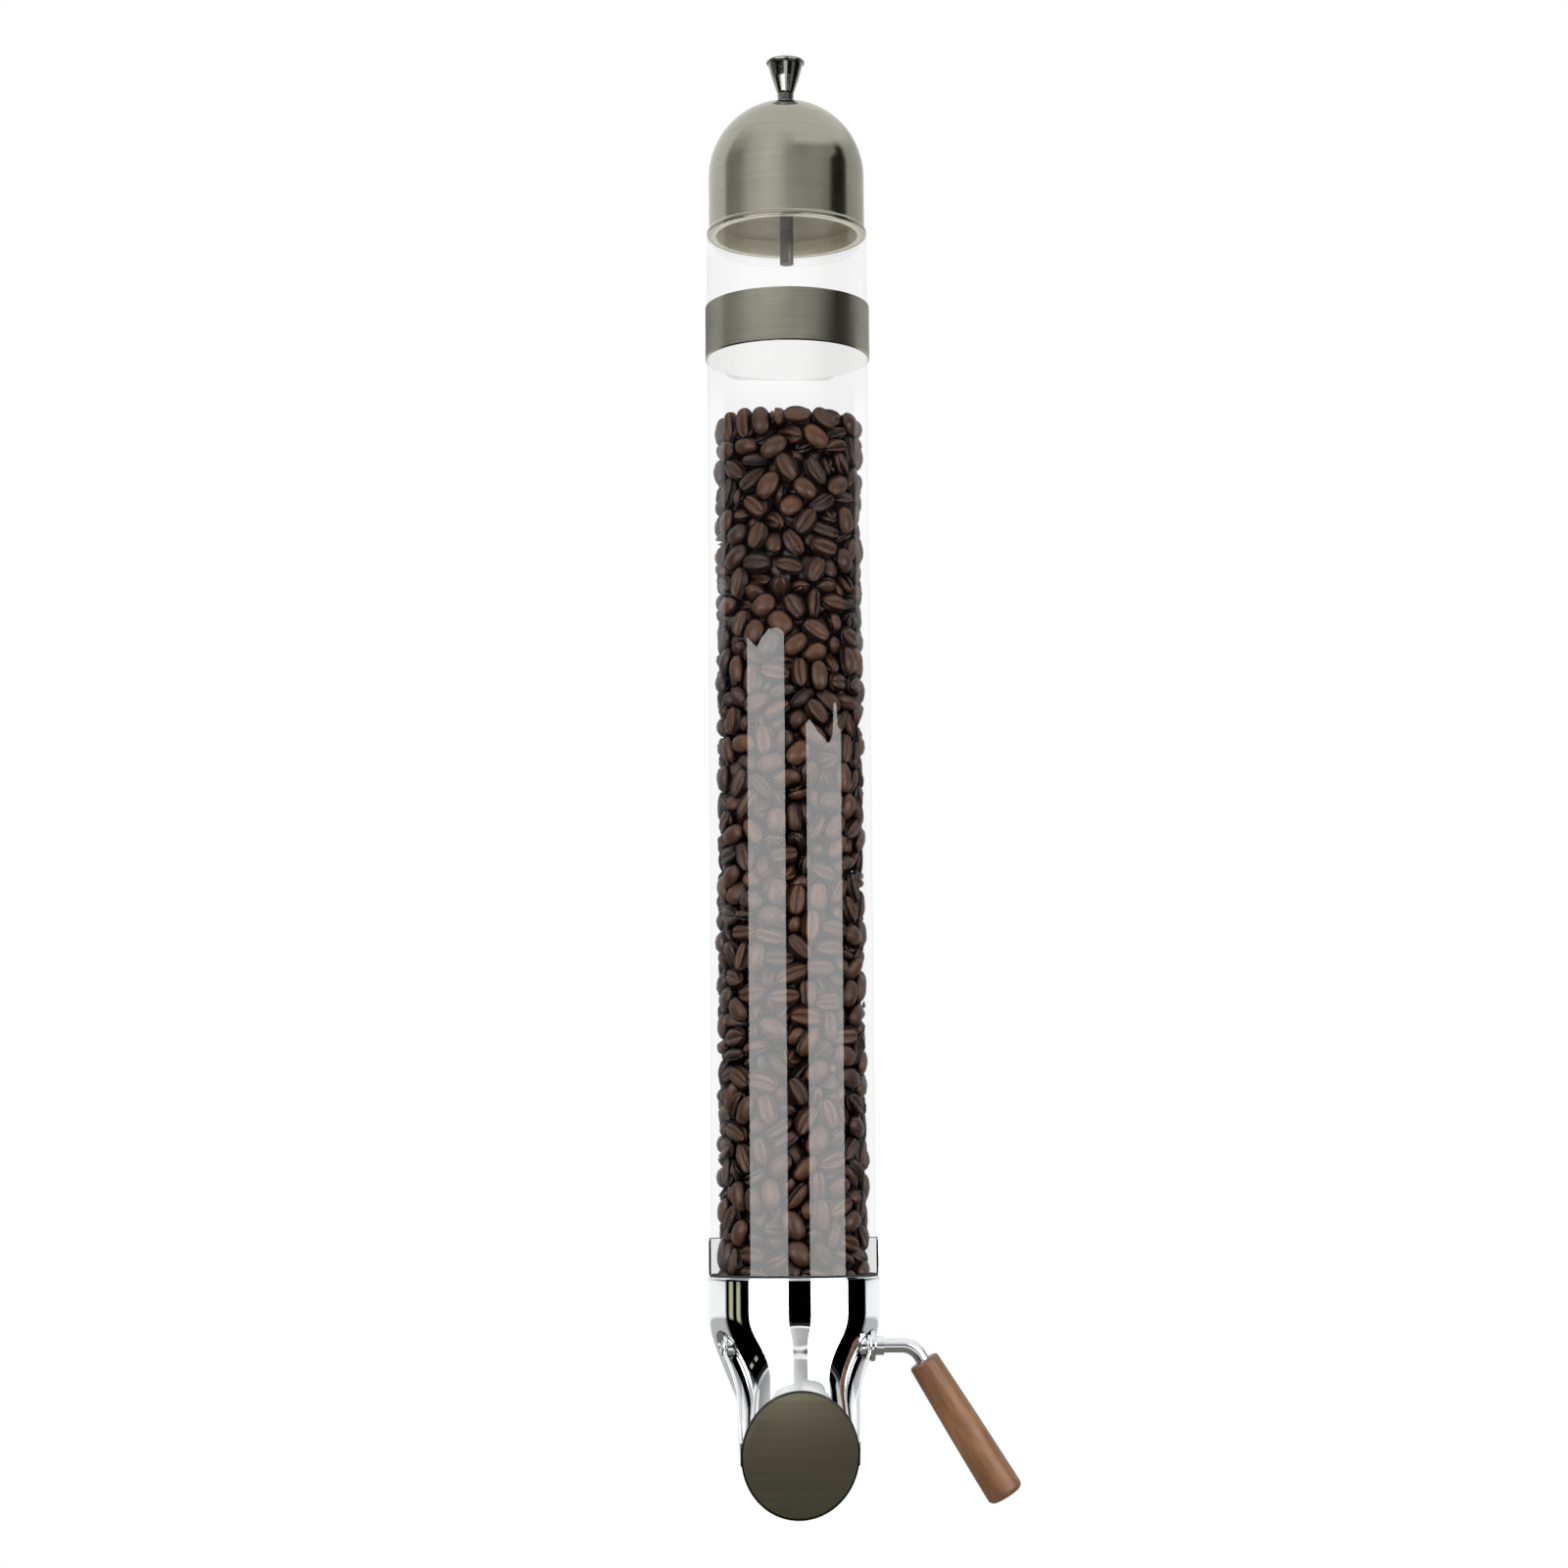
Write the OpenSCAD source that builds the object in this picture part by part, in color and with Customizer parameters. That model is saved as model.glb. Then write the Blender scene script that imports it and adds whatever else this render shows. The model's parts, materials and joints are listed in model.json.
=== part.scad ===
// Wall-hung gravity bin for whole coffee beans, in millimetres.
// A glass tube stands in a cast chute. A hinged flap closes its mouth, a lift-off dome lid its top.
// The wall is the plane Y = 0 and the bin hangs in front of it, towards -Y.
// The origin is the middle of the lower wall plate's two screw holes.

/* [Tube] */
// Outside diameter of the glass tube
tube_d = 70; // [60:1:84]
// Wall of the glass tube
tube_wall = 3; // [2:0.5:4]
// Length of the glass tube
tube_h = 455; // [300:5:600]
// Gap between the wall and the glass
wall_clear = 17; // [14:1:40]
// Distance from the top of the glass down to the beans
fill_gap = 81; // [40:1:200]

/* [Beans] */
// Distance between the beans that the column's face shows
bean_pitch = 14.2; // [12:0.2:20]
// Depth of the valleys between those beans
bean_relief = 6.4; // [3:0.2:8]

/* [Socket] */
// Height of the socket's front rim above the lower wall screws
rim_z = 18; // [14:1:24]
// Wall of the socket round the gasket
socket_wall = 0.8; // [0.6:0.1:2]
// Depth of the socket under its front rim
socket_depth = 6; // [4:0.5:9]
// Height of the straight collar, from the front rim down to the shoulder
collar_h = 14; // [11:1:20]
// Height of the saddle behind the glass, above the front rim
saddle_h = 16; // [6:1:30]
// Thickness of the rubber gasket's skirt
gasket_t = 0.45; // [0.3:0.05:1]
// Thickness of the gasket's foot under the glass
gasket_foot = 1; // [0.5:0.25:2]
// How far the gasket shows above the rim
gasket_lip = 0.9; // [0.3:0.1:2]

/* [Chute] */
// How far the mouth's centre is in front of the tube's axis
mouth_reach = 34; // [28:1:44]
// How far the mouth's centre is below the socket's front rim
mouth_drop = 70.8; // [64:0.2:84]
// Lean of the mouth's face below the horizontal view
mouth_lean = 20; // [10:1:30]
// How far each side of the mouth stands in from the collar
mouth_in = 13.75; // [12:0.25:15]
// Height of the mouth over its lips, along its face
mouth_h = 53.2; // [46:0.2:58]
// Wall of the chute at the mouth
chute_wall = 2; // [1.5:0.1:3]
// Extra wall at the level of the pivot
pivot_pad = 2.2; // [1.4:0.1:3]

/* [Pivot] */
// How far the pivot is in front of the tube's axis
pivot_reach = 16; // [12:0.5:18]
// How far the pivot is below the socket's front rim
pivot_drop = 28.6; // [26:0.2:31]
// How far the seats of the two arms stand in from the collar
arm_seat_in = 7; // [5.4:0.1:7.7]
// Diameter of the lever rod
rod_d = 6; // [5:0.5:7]
// Wall of the pivot bushes
bush_wall = 0.85; // [0.6:0.05:1.2]
// Radial gap of the rod in its bushes
running_gap = 0.05; // [0.03:0.01:0.08]
// Thickness of the flap's arms
arm_t = 1.3; // [1.2:0.1:2]
// Diameter of an arm's hub
hub_d = 12.4; // [12:0.1:13]
// Diameter of the stop pins
stop_d = 1.4; // [1:0.1:1.6]
// How far the flap opens, in degrees
open_angle = 60; // [40:1:65]

/* [Flap] */
// How far the flap laps over the mouth's lips
flap_lap = 1.7; // [1.5:0.1:3]
// Thickness of the flap
flap_t = 2.5; // [1.5:0.1:4]
// Thickness of the flap's rubber seal
seal_t = 1.5; // [1:0.1:2.5]
// Width of the seal's ring
seal_w = 3.6; // [3:0.1:5]

/* [Lever] */
// Distance from the collar to the corner of the lever's bend
lever_out = 12.6; // [9.6:0.5:23.6]
// Angle of the lever's grip below the horizontal, in degrees
lever_angle = 58.3; // [30:0.1:80]
// Bend radius of the rod, at its centre line
bend_r = 9; // [7:0.5:10]
// Length of the wooden grip
grip_len = 65.5; // [50:0.5:90]
// Diameter of the grip at its upper end
grip_top_d = 13.2; // [11:0.2:15]
// Diameter of the grip at its lower end
grip_end_d = 15.8; // [13:0.2:18]
// Length of the rod inside the grip
tang_len = 38; // [20:1:46]

/* [Band] */
// Height of the band round the glass
band_h = 23.4; // [18:0.2:34]
// Distance from the top of the glass down to the band
band_gap = 30.8; // [25:0.1:120]
// Thickness of the steel band
band_t = 0.5; // [0.4:0.1:1.5]
// Thickness of the clear liner inside the band
liner_t = 0.2; // [0.2:0.05:1]
// Thickness of the tongue between the band's ears
tongue_t = 6.6; // [5:0.2:9]
// Thickness of each ear of the band
ear_t = 1.5; // [1:0.1:2.5]
// Diameter of the clamp bolt
bolt_d = 4; // [3:0.5:5]

/* [Lid] */
// Height of the dome's straight side
dome_side_h = 26.5; // [14:0.5:40]
// Thickness of the spun dome
dome_wall = 0.9; // [0.6:0.1:1.5]
// How far the dome's side stands in from the glass
dome_inset = 0.9; // [0.5:0.1:2]
// Height of the bead at the dome's rim
bead_h = 2.4; // [1.5:0.1:4]
// Height of the ring inside the dome's rim
lid_ring_h = 7; // [5:0.5:10]
// Depth of the silicone plug inside the glass
plug_depth = 5; // [4:0.5:12]
// Diameter of the lid's stem
stem_d = 6; // [5:0.5:8]
// How far the stem reaches below the dome's rim
stem_drop = 12.5; // [9:0.5:30]
// Height of the knob
knob_h = 19.4; // [14:0.2:30]
// Diameter of the knob's cap
knob_d = 16.9; // [14:0.1:22]
// Diameter of the knob at its foot
knob_foot_d = 6.8; // [6:0.1:9]

/* [Wall plates] */
// Width of both wall plates
plate_w = 54; // [48:1:70]
// Height of the upper wall plate
upper_plate_h = 16; // [14:1:22]
// Height of the lower wall plate
lower_plate_h = 26; // [22:1:32]
// Thickness of both wall plates
plate_t = 4; // [3:0.5:6]
// Distance between the two screw holes of a plate
screw_pitch = 38; // [32:1:44]
// Diameter of the screw holes
screw_hole_d = 4.5; // [4:0.1:5]
// Diameter of the lower plate's peg
peg_d = 10; // [8:0.5:12]
// Wall of the socket that takes the peg
peg_socket_wall = 5; // [4:0.5:6]

/* [Hidden] */
// One overrun for every cut
over = 1;
// Clearance between fixed pieces that slide together in assembly
fit = 0.05;
// Clearance between pieces that move past each other
clear = 0.3;
// Sides and rings of the lofted chute, and sides of the circles
loft_sides = 40;
loft_rings = 14;
round_fn = 96;

tube_r = tube_d / 2;
tube_in_r = tube_r - tube_wall;
tube_y = -(tube_r + wall_clear);
socket_r = tube_r + fit + gasket_t + fit;
collar_r = socket_r + socket_wall;
passage_r = tube_in_r;
seat_z = rim_z - socket_depth;
glass_z = seat_z + gasket_foot;
glass_top = glass_z + tube_h;
shoulder_z = rim_z - collar_h;
cut_box = 4 * tube_d;

// Steps of the bean lattice across each bean, and the share of the relief at the saddle between two
bean_steps = 3;
saddle_share = 0.35;
// Least and greatest share of the relief that a bean reaches, and the seed of their order
bean_shares = [0.72, 1];
bean_seed = 41;
// Waves round a ring of beans, their height as a share of the pitch, and their turn from ring to ring
wave_count = 3;
wave_share = 0.2;
wave_turn = 47;

pivot_y = tube_y - pivot_reach;
pivot_z = rim_z - pivot_drop;
rod_r = rod_d / 2;
bush_r = rod_r + running_gap + bush_wall;
bush_len = 5 * bush_wall + fit;
hub_r = hub_d / 2;
boss_r = hub_r - 2 * clear;
arm_seat_x = collar_r - arm_seat_in;
boss_x = arm_seat_x - 2 * clear;
arm_out_x = arm_seat_x + arm_t;
pocket_r = hub_r + 2 * clear;
stop_r = stop_d / 2;
stop_reach = hub_r - stop_r - clear;
stop_depth = 1.5 * stop_d;
// Direction of the stop pins from the pivot, in degrees above the horizontal, to the rear
stop_dir = 60;

mouth_w = 2 * (collar_r - mouth_in);
mouth_y = tube_y - mouth_reach;
mouth_z = rim_z - mouth_drop;
mouth_out = [0, -cos(mouth_lean), -sin(mouth_lean)];
chute_drop = shoulder_z - mouth_z;
// Angle between the chute's end and the vertical, in degrees
chute_end_angle = 38;
// Shares of the drop that lead the chute's middle line out of the collar and into the mouth
lead_shares = [0.46, 0.32];
// Share of the drop in which the chute narrows to the mouth's width
neck_share = 0.84;
// Share of the way at which the chute's wall is thickest
pad_share = 0.25;
// Step of the chute's shoulder in from the collar, and its lap inside it
seam = 2 * fit;
lap = socket_wall;

flap_w = mouth_w + 2 * flap_lap;
flap_h = mouth_h + 2 * flap_lap;
flap_rear = clear + seal_t;
lug_h = 8;
arm_foot_x = mouth_w / 2 + 2 * clear;
arm_waist_x = arm_foot_x + 3 * clear;
arm_foot_w = 0.9 * lug_h;
arm_reach = [mouth_y, mouth_z] + flap_rear * [mouth_out[1], mouth_out[2]] - [pivot_y, pivot_z];
arm_len = norm(arm_reach);
arm_angle = atan2(arm_reach[1], arm_reach[0]);
// Shares of an arm's length where its bend starts and ends
arm_bend_shares = [0.11, 0.53];
rod_flat = 0.7 * rod_r;
end_screw_r = 0.4 * rod_r;
collar_t = 0.35 * rod_d;
rod_collar_r = hub_r + clear;
rod_cone_h = 0.6 * collar_t;

lever_reach = collar_r + lever_out;
bend_run = bend_r * tan(lever_angle / 2);
grip_gap = 0.4 * rod_d;
grip_start = bend_run + grip_gap;
grip_top_round = 0.2 * grip_top_d / 2;
grip_end_round = 0.3 * grip_end_d / 2;

band_z = glass_top - band_gap - band_h;
band_mid = band_z + band_h / 2;
band_in_r = tube_r + liner_t + 2 * fit;
band_r = band_in_r + band_t;
bolt_r = bolt_d / 2;
ear_gap = tongue_t / 2 + fit;
ear_x = ear_gap + ear_t;
ear_h = upper_plate_h - ear_t;
bolt_y = -(plate_t + (wall_clear - plate_t) / 2);

peg_r = peg_d / 2;
peg_socket_r = peg_r + peg_socket_wall;
peg_socket_y = -(plate_t + 2 * over);
peg_tip_y = peg_socket_y - 0.85 * peg_d;
grub_r = 0.2 * peg_d;
grub_y = (peg_socket_y + peg_tip_y) / 2;
sink_r = screw_hole_d;

lid_z = glass_top + clear + over;
dome_r = tube_r - dome_inset;
dome_in_r = dome_r - dome_wall;
stud_r = stem_d / 4;
dome_top = dome_side_h + dome_r;
washer_r = stem_d;
washer_t = dome_wall;
washer_z = dome_side_h + sqrt(pow(dome_in_r, 2) - pow(washer_r, 2)) - washer_t - fit;
ring_in_r = dome_in_r - fit - 2.5 * dome_wall;
plug_in_r = ring_in_r - 1.5 * dome_wall;

function mix(a, b, t) = a + (b - a) * t;
function ease(t) = t * t * (3 - 2 * t);
function ellipse(a, b, n) = [for (i = [0:n - 1]) [a * cos(360 * i / n), b * sin(360 * i / n)]];
function arc(cx, cy, r, from, to, n) =
    [for (i = [0:n]) [cx + r * cos(mix(from, to, i / n)), cy + r * sin(mix(from, to, i / n))]];
function stadium(w, h, n) =
    concat(arc((w - h) / 2, 0, h / 2, -90, 90, n), arc(-(w - h) / 2, 0, h / 2, 90, 270, n));

// The chute's middle line in the plane X = 0, as [y, z], for t from 0 at the shoulder to 1 at the mouth
function chute_path(t) =
    let (start = [tube_y, shoulder_z],
        end = [mouth_y, mouth_z],
        a = start - chute_drop * lead_shares[0] * [0, 1],
        b = end + chute_drop * lead_shares[1] * [sin(chute_end_angle), cos(chute_end_angle)])
    pow(1 - t, 3) * start + 3 * pow(1 - t, 2) * t * a + 3 * (1 - t) * t * t * b + t * t * t * end;
function chute_tilt(t) = (90 - mouth_lean) * mix(t, ease(t), 0.45);
function narrowing(t) =
    (1 + cos(180 * min(1, (shoulder_z - chute_path(t)[1]) / chute_drop / neck_share))) / 2;
function half_width(t) = mix(mouth_w / 2, collar_r - seam, narrowing(t));
function half_height(t) = mix(collar_r - seam, mouth_h / 2, ease(t));
function wall_at(t) =
    mix(collar_r - passage_r - 2 * seam, chute_wall, ease(t)) + pivot_pad * sin(90 * min(t / pad_share, 2));
// One closed ring of the chute: an ellipse in a plane that tilts on the way down
function chute_ring(t, inset, lift, n) =
    [for (i = [0:n - 1])
        let (c = chute_path(t), tilt = chute_tilt(t), v = (half_height(t) - inset) * sin(360 * i / n))
        [(half_width(t) - inset) * cos(360 * i / n), c[0] - cos(tilt) * v, c[1] + sin(tilt) * v + lift]];
function chute_rings(skin, n, m) =
    concat(chute_ring(0, skin ? 0 : wall_at(0), lap, n),
        [for (k = [0:m]) each chute_ring(k / m, skin ? 0 : wall_at(k / m), 0, n)]);
// Triangles between rings of n points, wound one way or the other
function side_faces(first, rings, n, out) =
    [for (k = [0:rings - 2], i = [0:n - 1])
        let (a = first + k * n + i, b = first + k * n + (i + 1) % n, c = a + n, d = b + n)
        each out ? [[a, b, d], [a, d, c]] : [[a, d, b], [a, c, d]]];
function rim_faces(a0, b0, n, out) =
    [for (i = [0:n - 1])
        let (a = a0 + i, b = a0 + (i + 1) % n, c = b0 + i, d = b0 + (i + 1) % n)
        each out ? [[a, b, d], [a, d, c]] : [[a, d, b], [a, c, d]]];

module at_tube(z) {
    translate([0, tube_y, z]) children();
}

module at_pivot() {
    translate([0, pivot_y, pivot_z]) children();
}

// Frame of the mouth: X across, Y up along its face, Z out of it
module at_mouth() {
    translate([0, mouth_y, mouth_z]) rotate([90 + mouth_lean, 0, 0]) children();
}

// Frame of the grip: Z runs down along it from the corner of the bend
module at_grip() {
    translate([lever_reach, pivot_y, pivot_z]) rotate([0, 90 + lever_angle, 0]) children();
}

module along_x(x0, x1, r) {
    translate([x0, 0, 0]) rotate([0, 90, 0]) cylinder(r = r, h = x1 - x0, $fn = round_fn);
}

module along_y(y0, y1, r) {
    translate([0, y1, 0]) rotate([90, 0, 0]) cylinder(r = r, h = y1 - y0, $fn = round_fn);
}

module both_sides() {
    children();
    mirror([1, 0, 0]) children();
}

module ring(r_out, r_in, h) {
    difference() {
        cylinder(r = r_out, h = h, $fn = round_fn);
        translate([0, 0, -over]) cylinder(r = r_in, h = h + 2 * over, $fn = round_fn);
    }
}

// Everything in front of the tube's axis and above a height
module front_above(z) {
    translate([-cut_box / 2, tube_y - cut_box, z]) cube(cut_box);
}

module glass_tube() {
    color("lightcyan", 0.3) at_tube(glass_z) ring(tube_r, tube_in_r, tube_h);
}

// Rubber of L section: a foot under the glass and a skirt round it that shows above the front rim
module tube_gasket() {
    skirt_h = socket_depth + gasket_lip;
    color("dimgray") at_tube(seat_z) rotate_extrude($fn = round_fn) polygon([
        [tube_in_r + fit, 0], [socket_r - fit, 0], [socket_r - fit, skirt_h], [tube_r + fit, skirt_h],
        [tube_r + fit, gasket_foot], [tube_in_r + fit, gasket_foot]]);
}

module chute_shell() {
    n = loft_sides;
    rings = loft_rings + 2;
    inner = rings * n;
    polyhedron(points = concat(chute_rings(true, n, loft_rings), chute_rings(false, n, loft_rings)),
        faces = concat(side_faces(0, rings, n, false), side_faces(inner, rings, n, true),
            rim_faces(inner, 0, n, false), rim_faces(inner + (rings - 1) * n, (rings - 1) * n, n, true)));
}

// Cast chute: socket and saddle for the glass, lofted body, pivot bosses and the socket for the wall peg
module chute_body() {
    color("silver") difference() {
        union() {
            at_tube(shoulder_z) ring(collar_r, passage_r, collar_h + saddle_h);
            chute_shell();
            both_sides() at_pivot() along_x(boss_x - bush_len, boss_x, boss_r);
            along_y(tube_y + passage_r + over, peg_socket_y, peg_socket_r);
        }
        at_tube(seat_z) cylinder(r = socket_r, h = cut_box, $fn = round_fn);
        front_above(rim_z);
        both_sides() at_pivot() along_x(boss_x, collar_r + over, pocket_r);
        at_pivot() along_x(-collar_r, collar_r, bush_r + fit);
        both_sides() at_pivot() stop_pin_at() along_x(boss_x - stop_depth, boss_x + over, stop_r + fit);
        along_y(peg_tip_y - clear, peg_socket_y + over, peg_r + fit);
        translate([0, grub_y, -peg_socket_r - over])
            cylinder(r = grub_r + fit, h = peg_socket_r, $fn = round_fn);
    }
}

module stop_pin_at() {
    translate([0, stop_reach * cos(stop_dir), stop_reach * sin(stop_dir)]) children();
}

module wall_plate(h) {
    difference() {
        rotate([90, 0, 0]) linear_extrude(plate_t) polygon(stadium(plate_w, h, 12));
        both_sides() translate([screw_pitch / 2, 0, 0]) {
            along_y(-plate_t - over, over, screw_hole_d / 2);
            translate([0, -plate_t - over, 0]) rotate([-90, 0, 0])
                cylinder(r1 = sink_r + over, r2 = 0, h = sink_r + over, $fn = round_fn);
        }
    }
}

module lower_wall_plate() {
    color("gray") union() {
        wall_plate(lower_plate_h);
        along_y(peg_tip_y, -plate_t / 2, peg_r);
    }
}

module peg_grub_screw() {
    color("darkslategray") difference() {
        translate([0, grub_y, -peg_socket_r + over])
            cylinder(r = grub_r, h = peg_socket_wall - over, $fn = round_fn);
        translate([0, grub_y, -peg_socket_r]) cylinder(r = grub_r / 2, h = 2 * over, $fn = 6);
    }
}

module upper_wall_plate() {
    color("gray") difference() {
        union() {
            translate([0, 0, band_mid]) wall_plate(upper_plate_h);
            translate([-tongue_t / 2, tube_y + band_r + over, band_mid - ear_h / 2])
                cube([tongue_t, wall_clear - (band_r - tube_r) - over - plate_t / 2, ear_h]);
        }
        translate([0, bolt_y, band_mid]) along_x(-tongue_t, tongue_t, bolt_r + fit);
    }
}

// Split steel band with two ears that close on the tongue of the upper wall plate
module band_clamp() {
    color("gray") difference() {
        union() {
            at_tube(band_z) cylinder(r = band_r, h = band_h, $fn = round_fn);
            translate([-ear_x, tube_y + tube_in_r, band_mid - ear_h / 2])
                cube([2 * ear_x, -tube_y - tube_in_r - plate_t - over, ear_h]);
        }
        at_tube(band_z - over) cylinder(r = band_in_r, h = band_h + 2 * over, $fn = round_fn);
        translate([-ear_gap, tube_y, band_z - over]) cube([2 * ear_gap, -tube_y, band_h + 2 * over]);
        translate([0, bolt_y, band_mid]) along_x(-ear_x - over, ear_x + over, bolt_r + fit);
    }
}

module band_liner() {
    color("white", 0.5) at_tube(band_z) ring(tube_r + fit + liner_t, tube_r + fit, band_h);
}

module clamp_bolt() {
    head_h = 0.6 * bolt_d;
    color("darkslategray") translate([0, bolt_y, band_mid]) difference() {
        union() {
            along_x(ear_x, ear_x + head_h, 0.9 * bolt_d);
            along_x(-ear_x - bolt_d, ear_x + head_h / 2, bolt_r);
        }
        translate([ear_x + head_h / 2, 0, 0]) rotate([0, 90, 0])
            cylinder(r = bolt_r * 0.7, h = head_h, $fn = 6);
    }
}

module clamp_nut() {
    color("darkslategray") translate([0, bolt_y, band_mid]) difference() {
        translate([-ear_x - 0.8 * bolt_d, 0, 0]) rotate([0, 90, 0])
            cylinder(r = bolt_d, h = 0.8 * bolt_d - fit, $fn = 6);
        along_x(-ear_x - bolt_d, -ear_x + over, bolt_r + fit / 2);
    }
}

module pivot_bushes() {
    color("ivory") both_sides() at_pivot() difference() {
        along_x(boss_x - bush_len, boss_x + clear, bush_r);
        along_x(boss_x - bush_len - over, boss_x + over, rod_r + running_gap);
    }
}

module stop_pins() {
    color("lightgray") both_sides() at_pivot() stop_pin_at()
        along_x(boss_x - stop_depth, arm_out_x - clear, stop_r);
}

// How far a point of the bean lattice stands out, as a share of the relief
function proud(i, k, around, shares) =
    let (at_side = i % bean_steps == 0, at_end = k % bean_steps == 0)
    at_side && at_end ? 0 : at_side || at_end ? saddle_share
        : shares[floor(i / bean_steps) % around + around * floor(k / bean_steps)];

// The beans in the glass, as one body a little inside it. Its side and top carry a lattice of
// bean-sized lumps, with each row turned by a step, and its rings wave as poured beans do.
module bean_column() {
    r = tube_in_r - clear;
    h = glass_top - fill_gap - shoulder_z;
    around = round(180 / asin(bean_pitch / 2 / r));
    up = round(h / bean_pitch);
    inward = round(r / bean_pitch);
    n = bean_steps * around;
    side = bean_steps * up;
    rings = side + bean_steps * inward;
    shares = rands(bean_shares[0], bean_shares[1], around * (up + inward), bean_seed);
    points = [for (k = [0:rings - 1], i = [0:n - 1])
        let (turn = 360 * i / n,
            row = floor(k / bean_steps),
            share = k == rings - 1 ? saddle_share : proud(i + row, k, around, shares),
            low = bean_relief * (1 - share),
            calm = min(1, k / bean_steps, (side - k) / bean_steps),
            wave = calm * wave_share * bean_pitch * sin(wave_count * turn + wave_turn * k),
            heap_r = (r - bean_relief * (1 - saddle_share)) * (rings - k) / (rings - side),
            reach = k > side ? heap_r : r - low,
            z = k > side ? h - low : (h - bean_relief / 2) * k / side + wave)
        [reach * cos(turn), reach * sin(turn), z]];
    color("saddlebrown") at_tube(shoulder_z) polyhedron(points = points,
        faces = concat(side_faces(0, rings, n, false),
            [[for (i = [0:n - 1]) i]], [[for (i = [n - 1:-1:0]) (rings - 1) * n + i]]));
}

// The beans in the chute, with a free slope behind the flap and room for the rod
module chute_beans() {
    n = 24;
    m = 8;
    rings = m + 1;
    gap = 2 * clear;
    slope_back = 0.25 * mouth_h;
    points = [for (k = [0:m]) each chute_ring(k / m, wall_at(k / m) + gap, 0, n)];
    color("saddlebrown") difference() {
        polyhedron(points = points, faces = concat(side_faces(0, rings, n, false),
            [[for (i = [0:n - 1]) i]], [[for (i = [n - 1:-1:0]) m * n + i]]));
        at_tube(shoulder_z - fit) cylinder(r = collar_r, h = collar_h, $fn = round_fn);
        at_mouth() translate([-cut_box / 2, -cut_box / 2, -slope_back]) cube(cut_box);
        at_pivot() along_x(-collar_r, collar_r, rod_r + gap);
        both_sides() at_pivot() along_x(boss_x - bush_len - gap, collar_r, boss_r + gap);
    }
}

module flap() {
    color("darkgray") at_mouth() translate([0, 0, flap_rear]) linear_extrude(flap_t) union() {
        polygon(ellipse(flap_w / 2, flap_h / 2, 72));
        square([2 * (arm_foot_x + arm_t), lug_h], center = true);
    }
}

module flap_seal() {
    a = mouth_w / 2 + clear;
    b = mouth_h / 2 + clear;
    color("black") at_mouth() translate([0, 0, clear]) linear_extrude(seal_t) difference() {
        polygon(ellipse(a, b, 60));
        polygon(ellipse(a - seal_w, b - seal_w, 60));
    }
}

// Distance of an arm's inner face from the middle plane, at s along the arm from the pivot
function arm_x(s) =
    let (s0 = arm_bend_shares[0] * arm_len, s1 = arm_bend_shares[1] * arm_len)
    s <= s0 ? arm_seat_x
        : s < s1 ? mix(arm_waist_x, arm_seat_x, pow((s1 - s) / (s1 - s0), 1.5))
        : mix(arm_waist_x, arm_foot_x, (s - s1) / (arm_len - s1));

// One arm: a bent strap from its hub on the rod to the lug of the flap
module arm(flat_hole) {
    s0 = arm_bend_shares[0] * arm_len;
    s1 = arm_bend_shares[1] * arm_len;
    stations = concat([-2 * hub_r], [for (i = [0:8]) mix(s0, s1, i / 8)], [2 * arm_len]);
    inner = [for (s = stations) [arm_x(s), s]];
    outer = [for (i = [len(stations) - 1:-1:0]) [arm_x(stations[i]) + arm_t, stations[i]]];
    notch_half = asin((stop_r + clear) / stop_reach);
    notch_from = stop_dir - arm_angle - notch_half;
    notch_to = stop_dir - arm_angle + open_angle + notch_half;
    notch_floor = stop_reach - stop_r - clear;
    difference() {
        at_pivot() rotate([arm_angle, 0, 0]) intersection() {
            translate([arm_foot_x / 2, 0, 0]) rotate([90, 0, 90]) linear_extrude(arm_out_x) difference() {
                union() {
                    circle(r = hub_r, $fn = round_fn);
                    polygon([[0, -0.8 * hub_r], [1.3 * arm_len, -arm_foot_w / 2 * 0.9],
                        [1.3 * arm_len, arm_foot_w / 2 * 0.9], [0, 0.8 * hub_r]]);
                }
                difference() {
                    circle(r = rod_r + fit, $fn = round_fn);
                    if (flat_hole) translate([-rod_r - over, rod_flat + fit]) square(2 * (rod_r + over));
                }
                polygon(concat(arc(0, 0, notch_floor, notch_from, notch_to, 8),
                    arc(0, 0, 2 * hub_r, notch_to, notch_from, 8)));
            }
            linear_extrude(4 * hub_r, center = true) polygon(concat(inner, outer));
        }
        at_mouth() translate([-cut_box / 2, -cut_box / 2, flap_rear]) cube(cut_box);
    }
}

module arm_right() {
    color("silver") arm(false);
}

module arm_left() {
    color("silver") mirror([1, 0, 0]) arm(true);
}

// Pivot shaft and lever in one bent rod, with a flat for the left arm
module lever_rod() {
    color("silver") difference() {
        union() {
            at_pivot() along_x(-arm_out_x + fit, lever_reach - bend_run, rod_r);
            translate([lever_reach - bend_run, pivot_y, pivot_z - bend_r]) rotate([90, 0, 0])
                rotate([0, 0, 90 - lever_angle]) rotate_extrude(angle = lever_angle, $fn = round_fn)
                translate([bend_r, 0]) circle(r = rod_r, $fn = round_fn);
            at_grip() translate([0, 0, bend_run])
                cylinder(r = rod_r, h = grip_gap + tang_len, $fn = round_fn);
        }
        at_pivot() rotate([arm_angle, 0, 0]) translate([-arm_out_x - over, -rod_d, rod_flat])
            cube([over + arm_t + fit, 2 * rod_d, rod_d]);
        at_pivot() along_x(-arm_out_x - over, -arm_out_x + 2 * rod_d, end_screw_r);
    }
}

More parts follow.
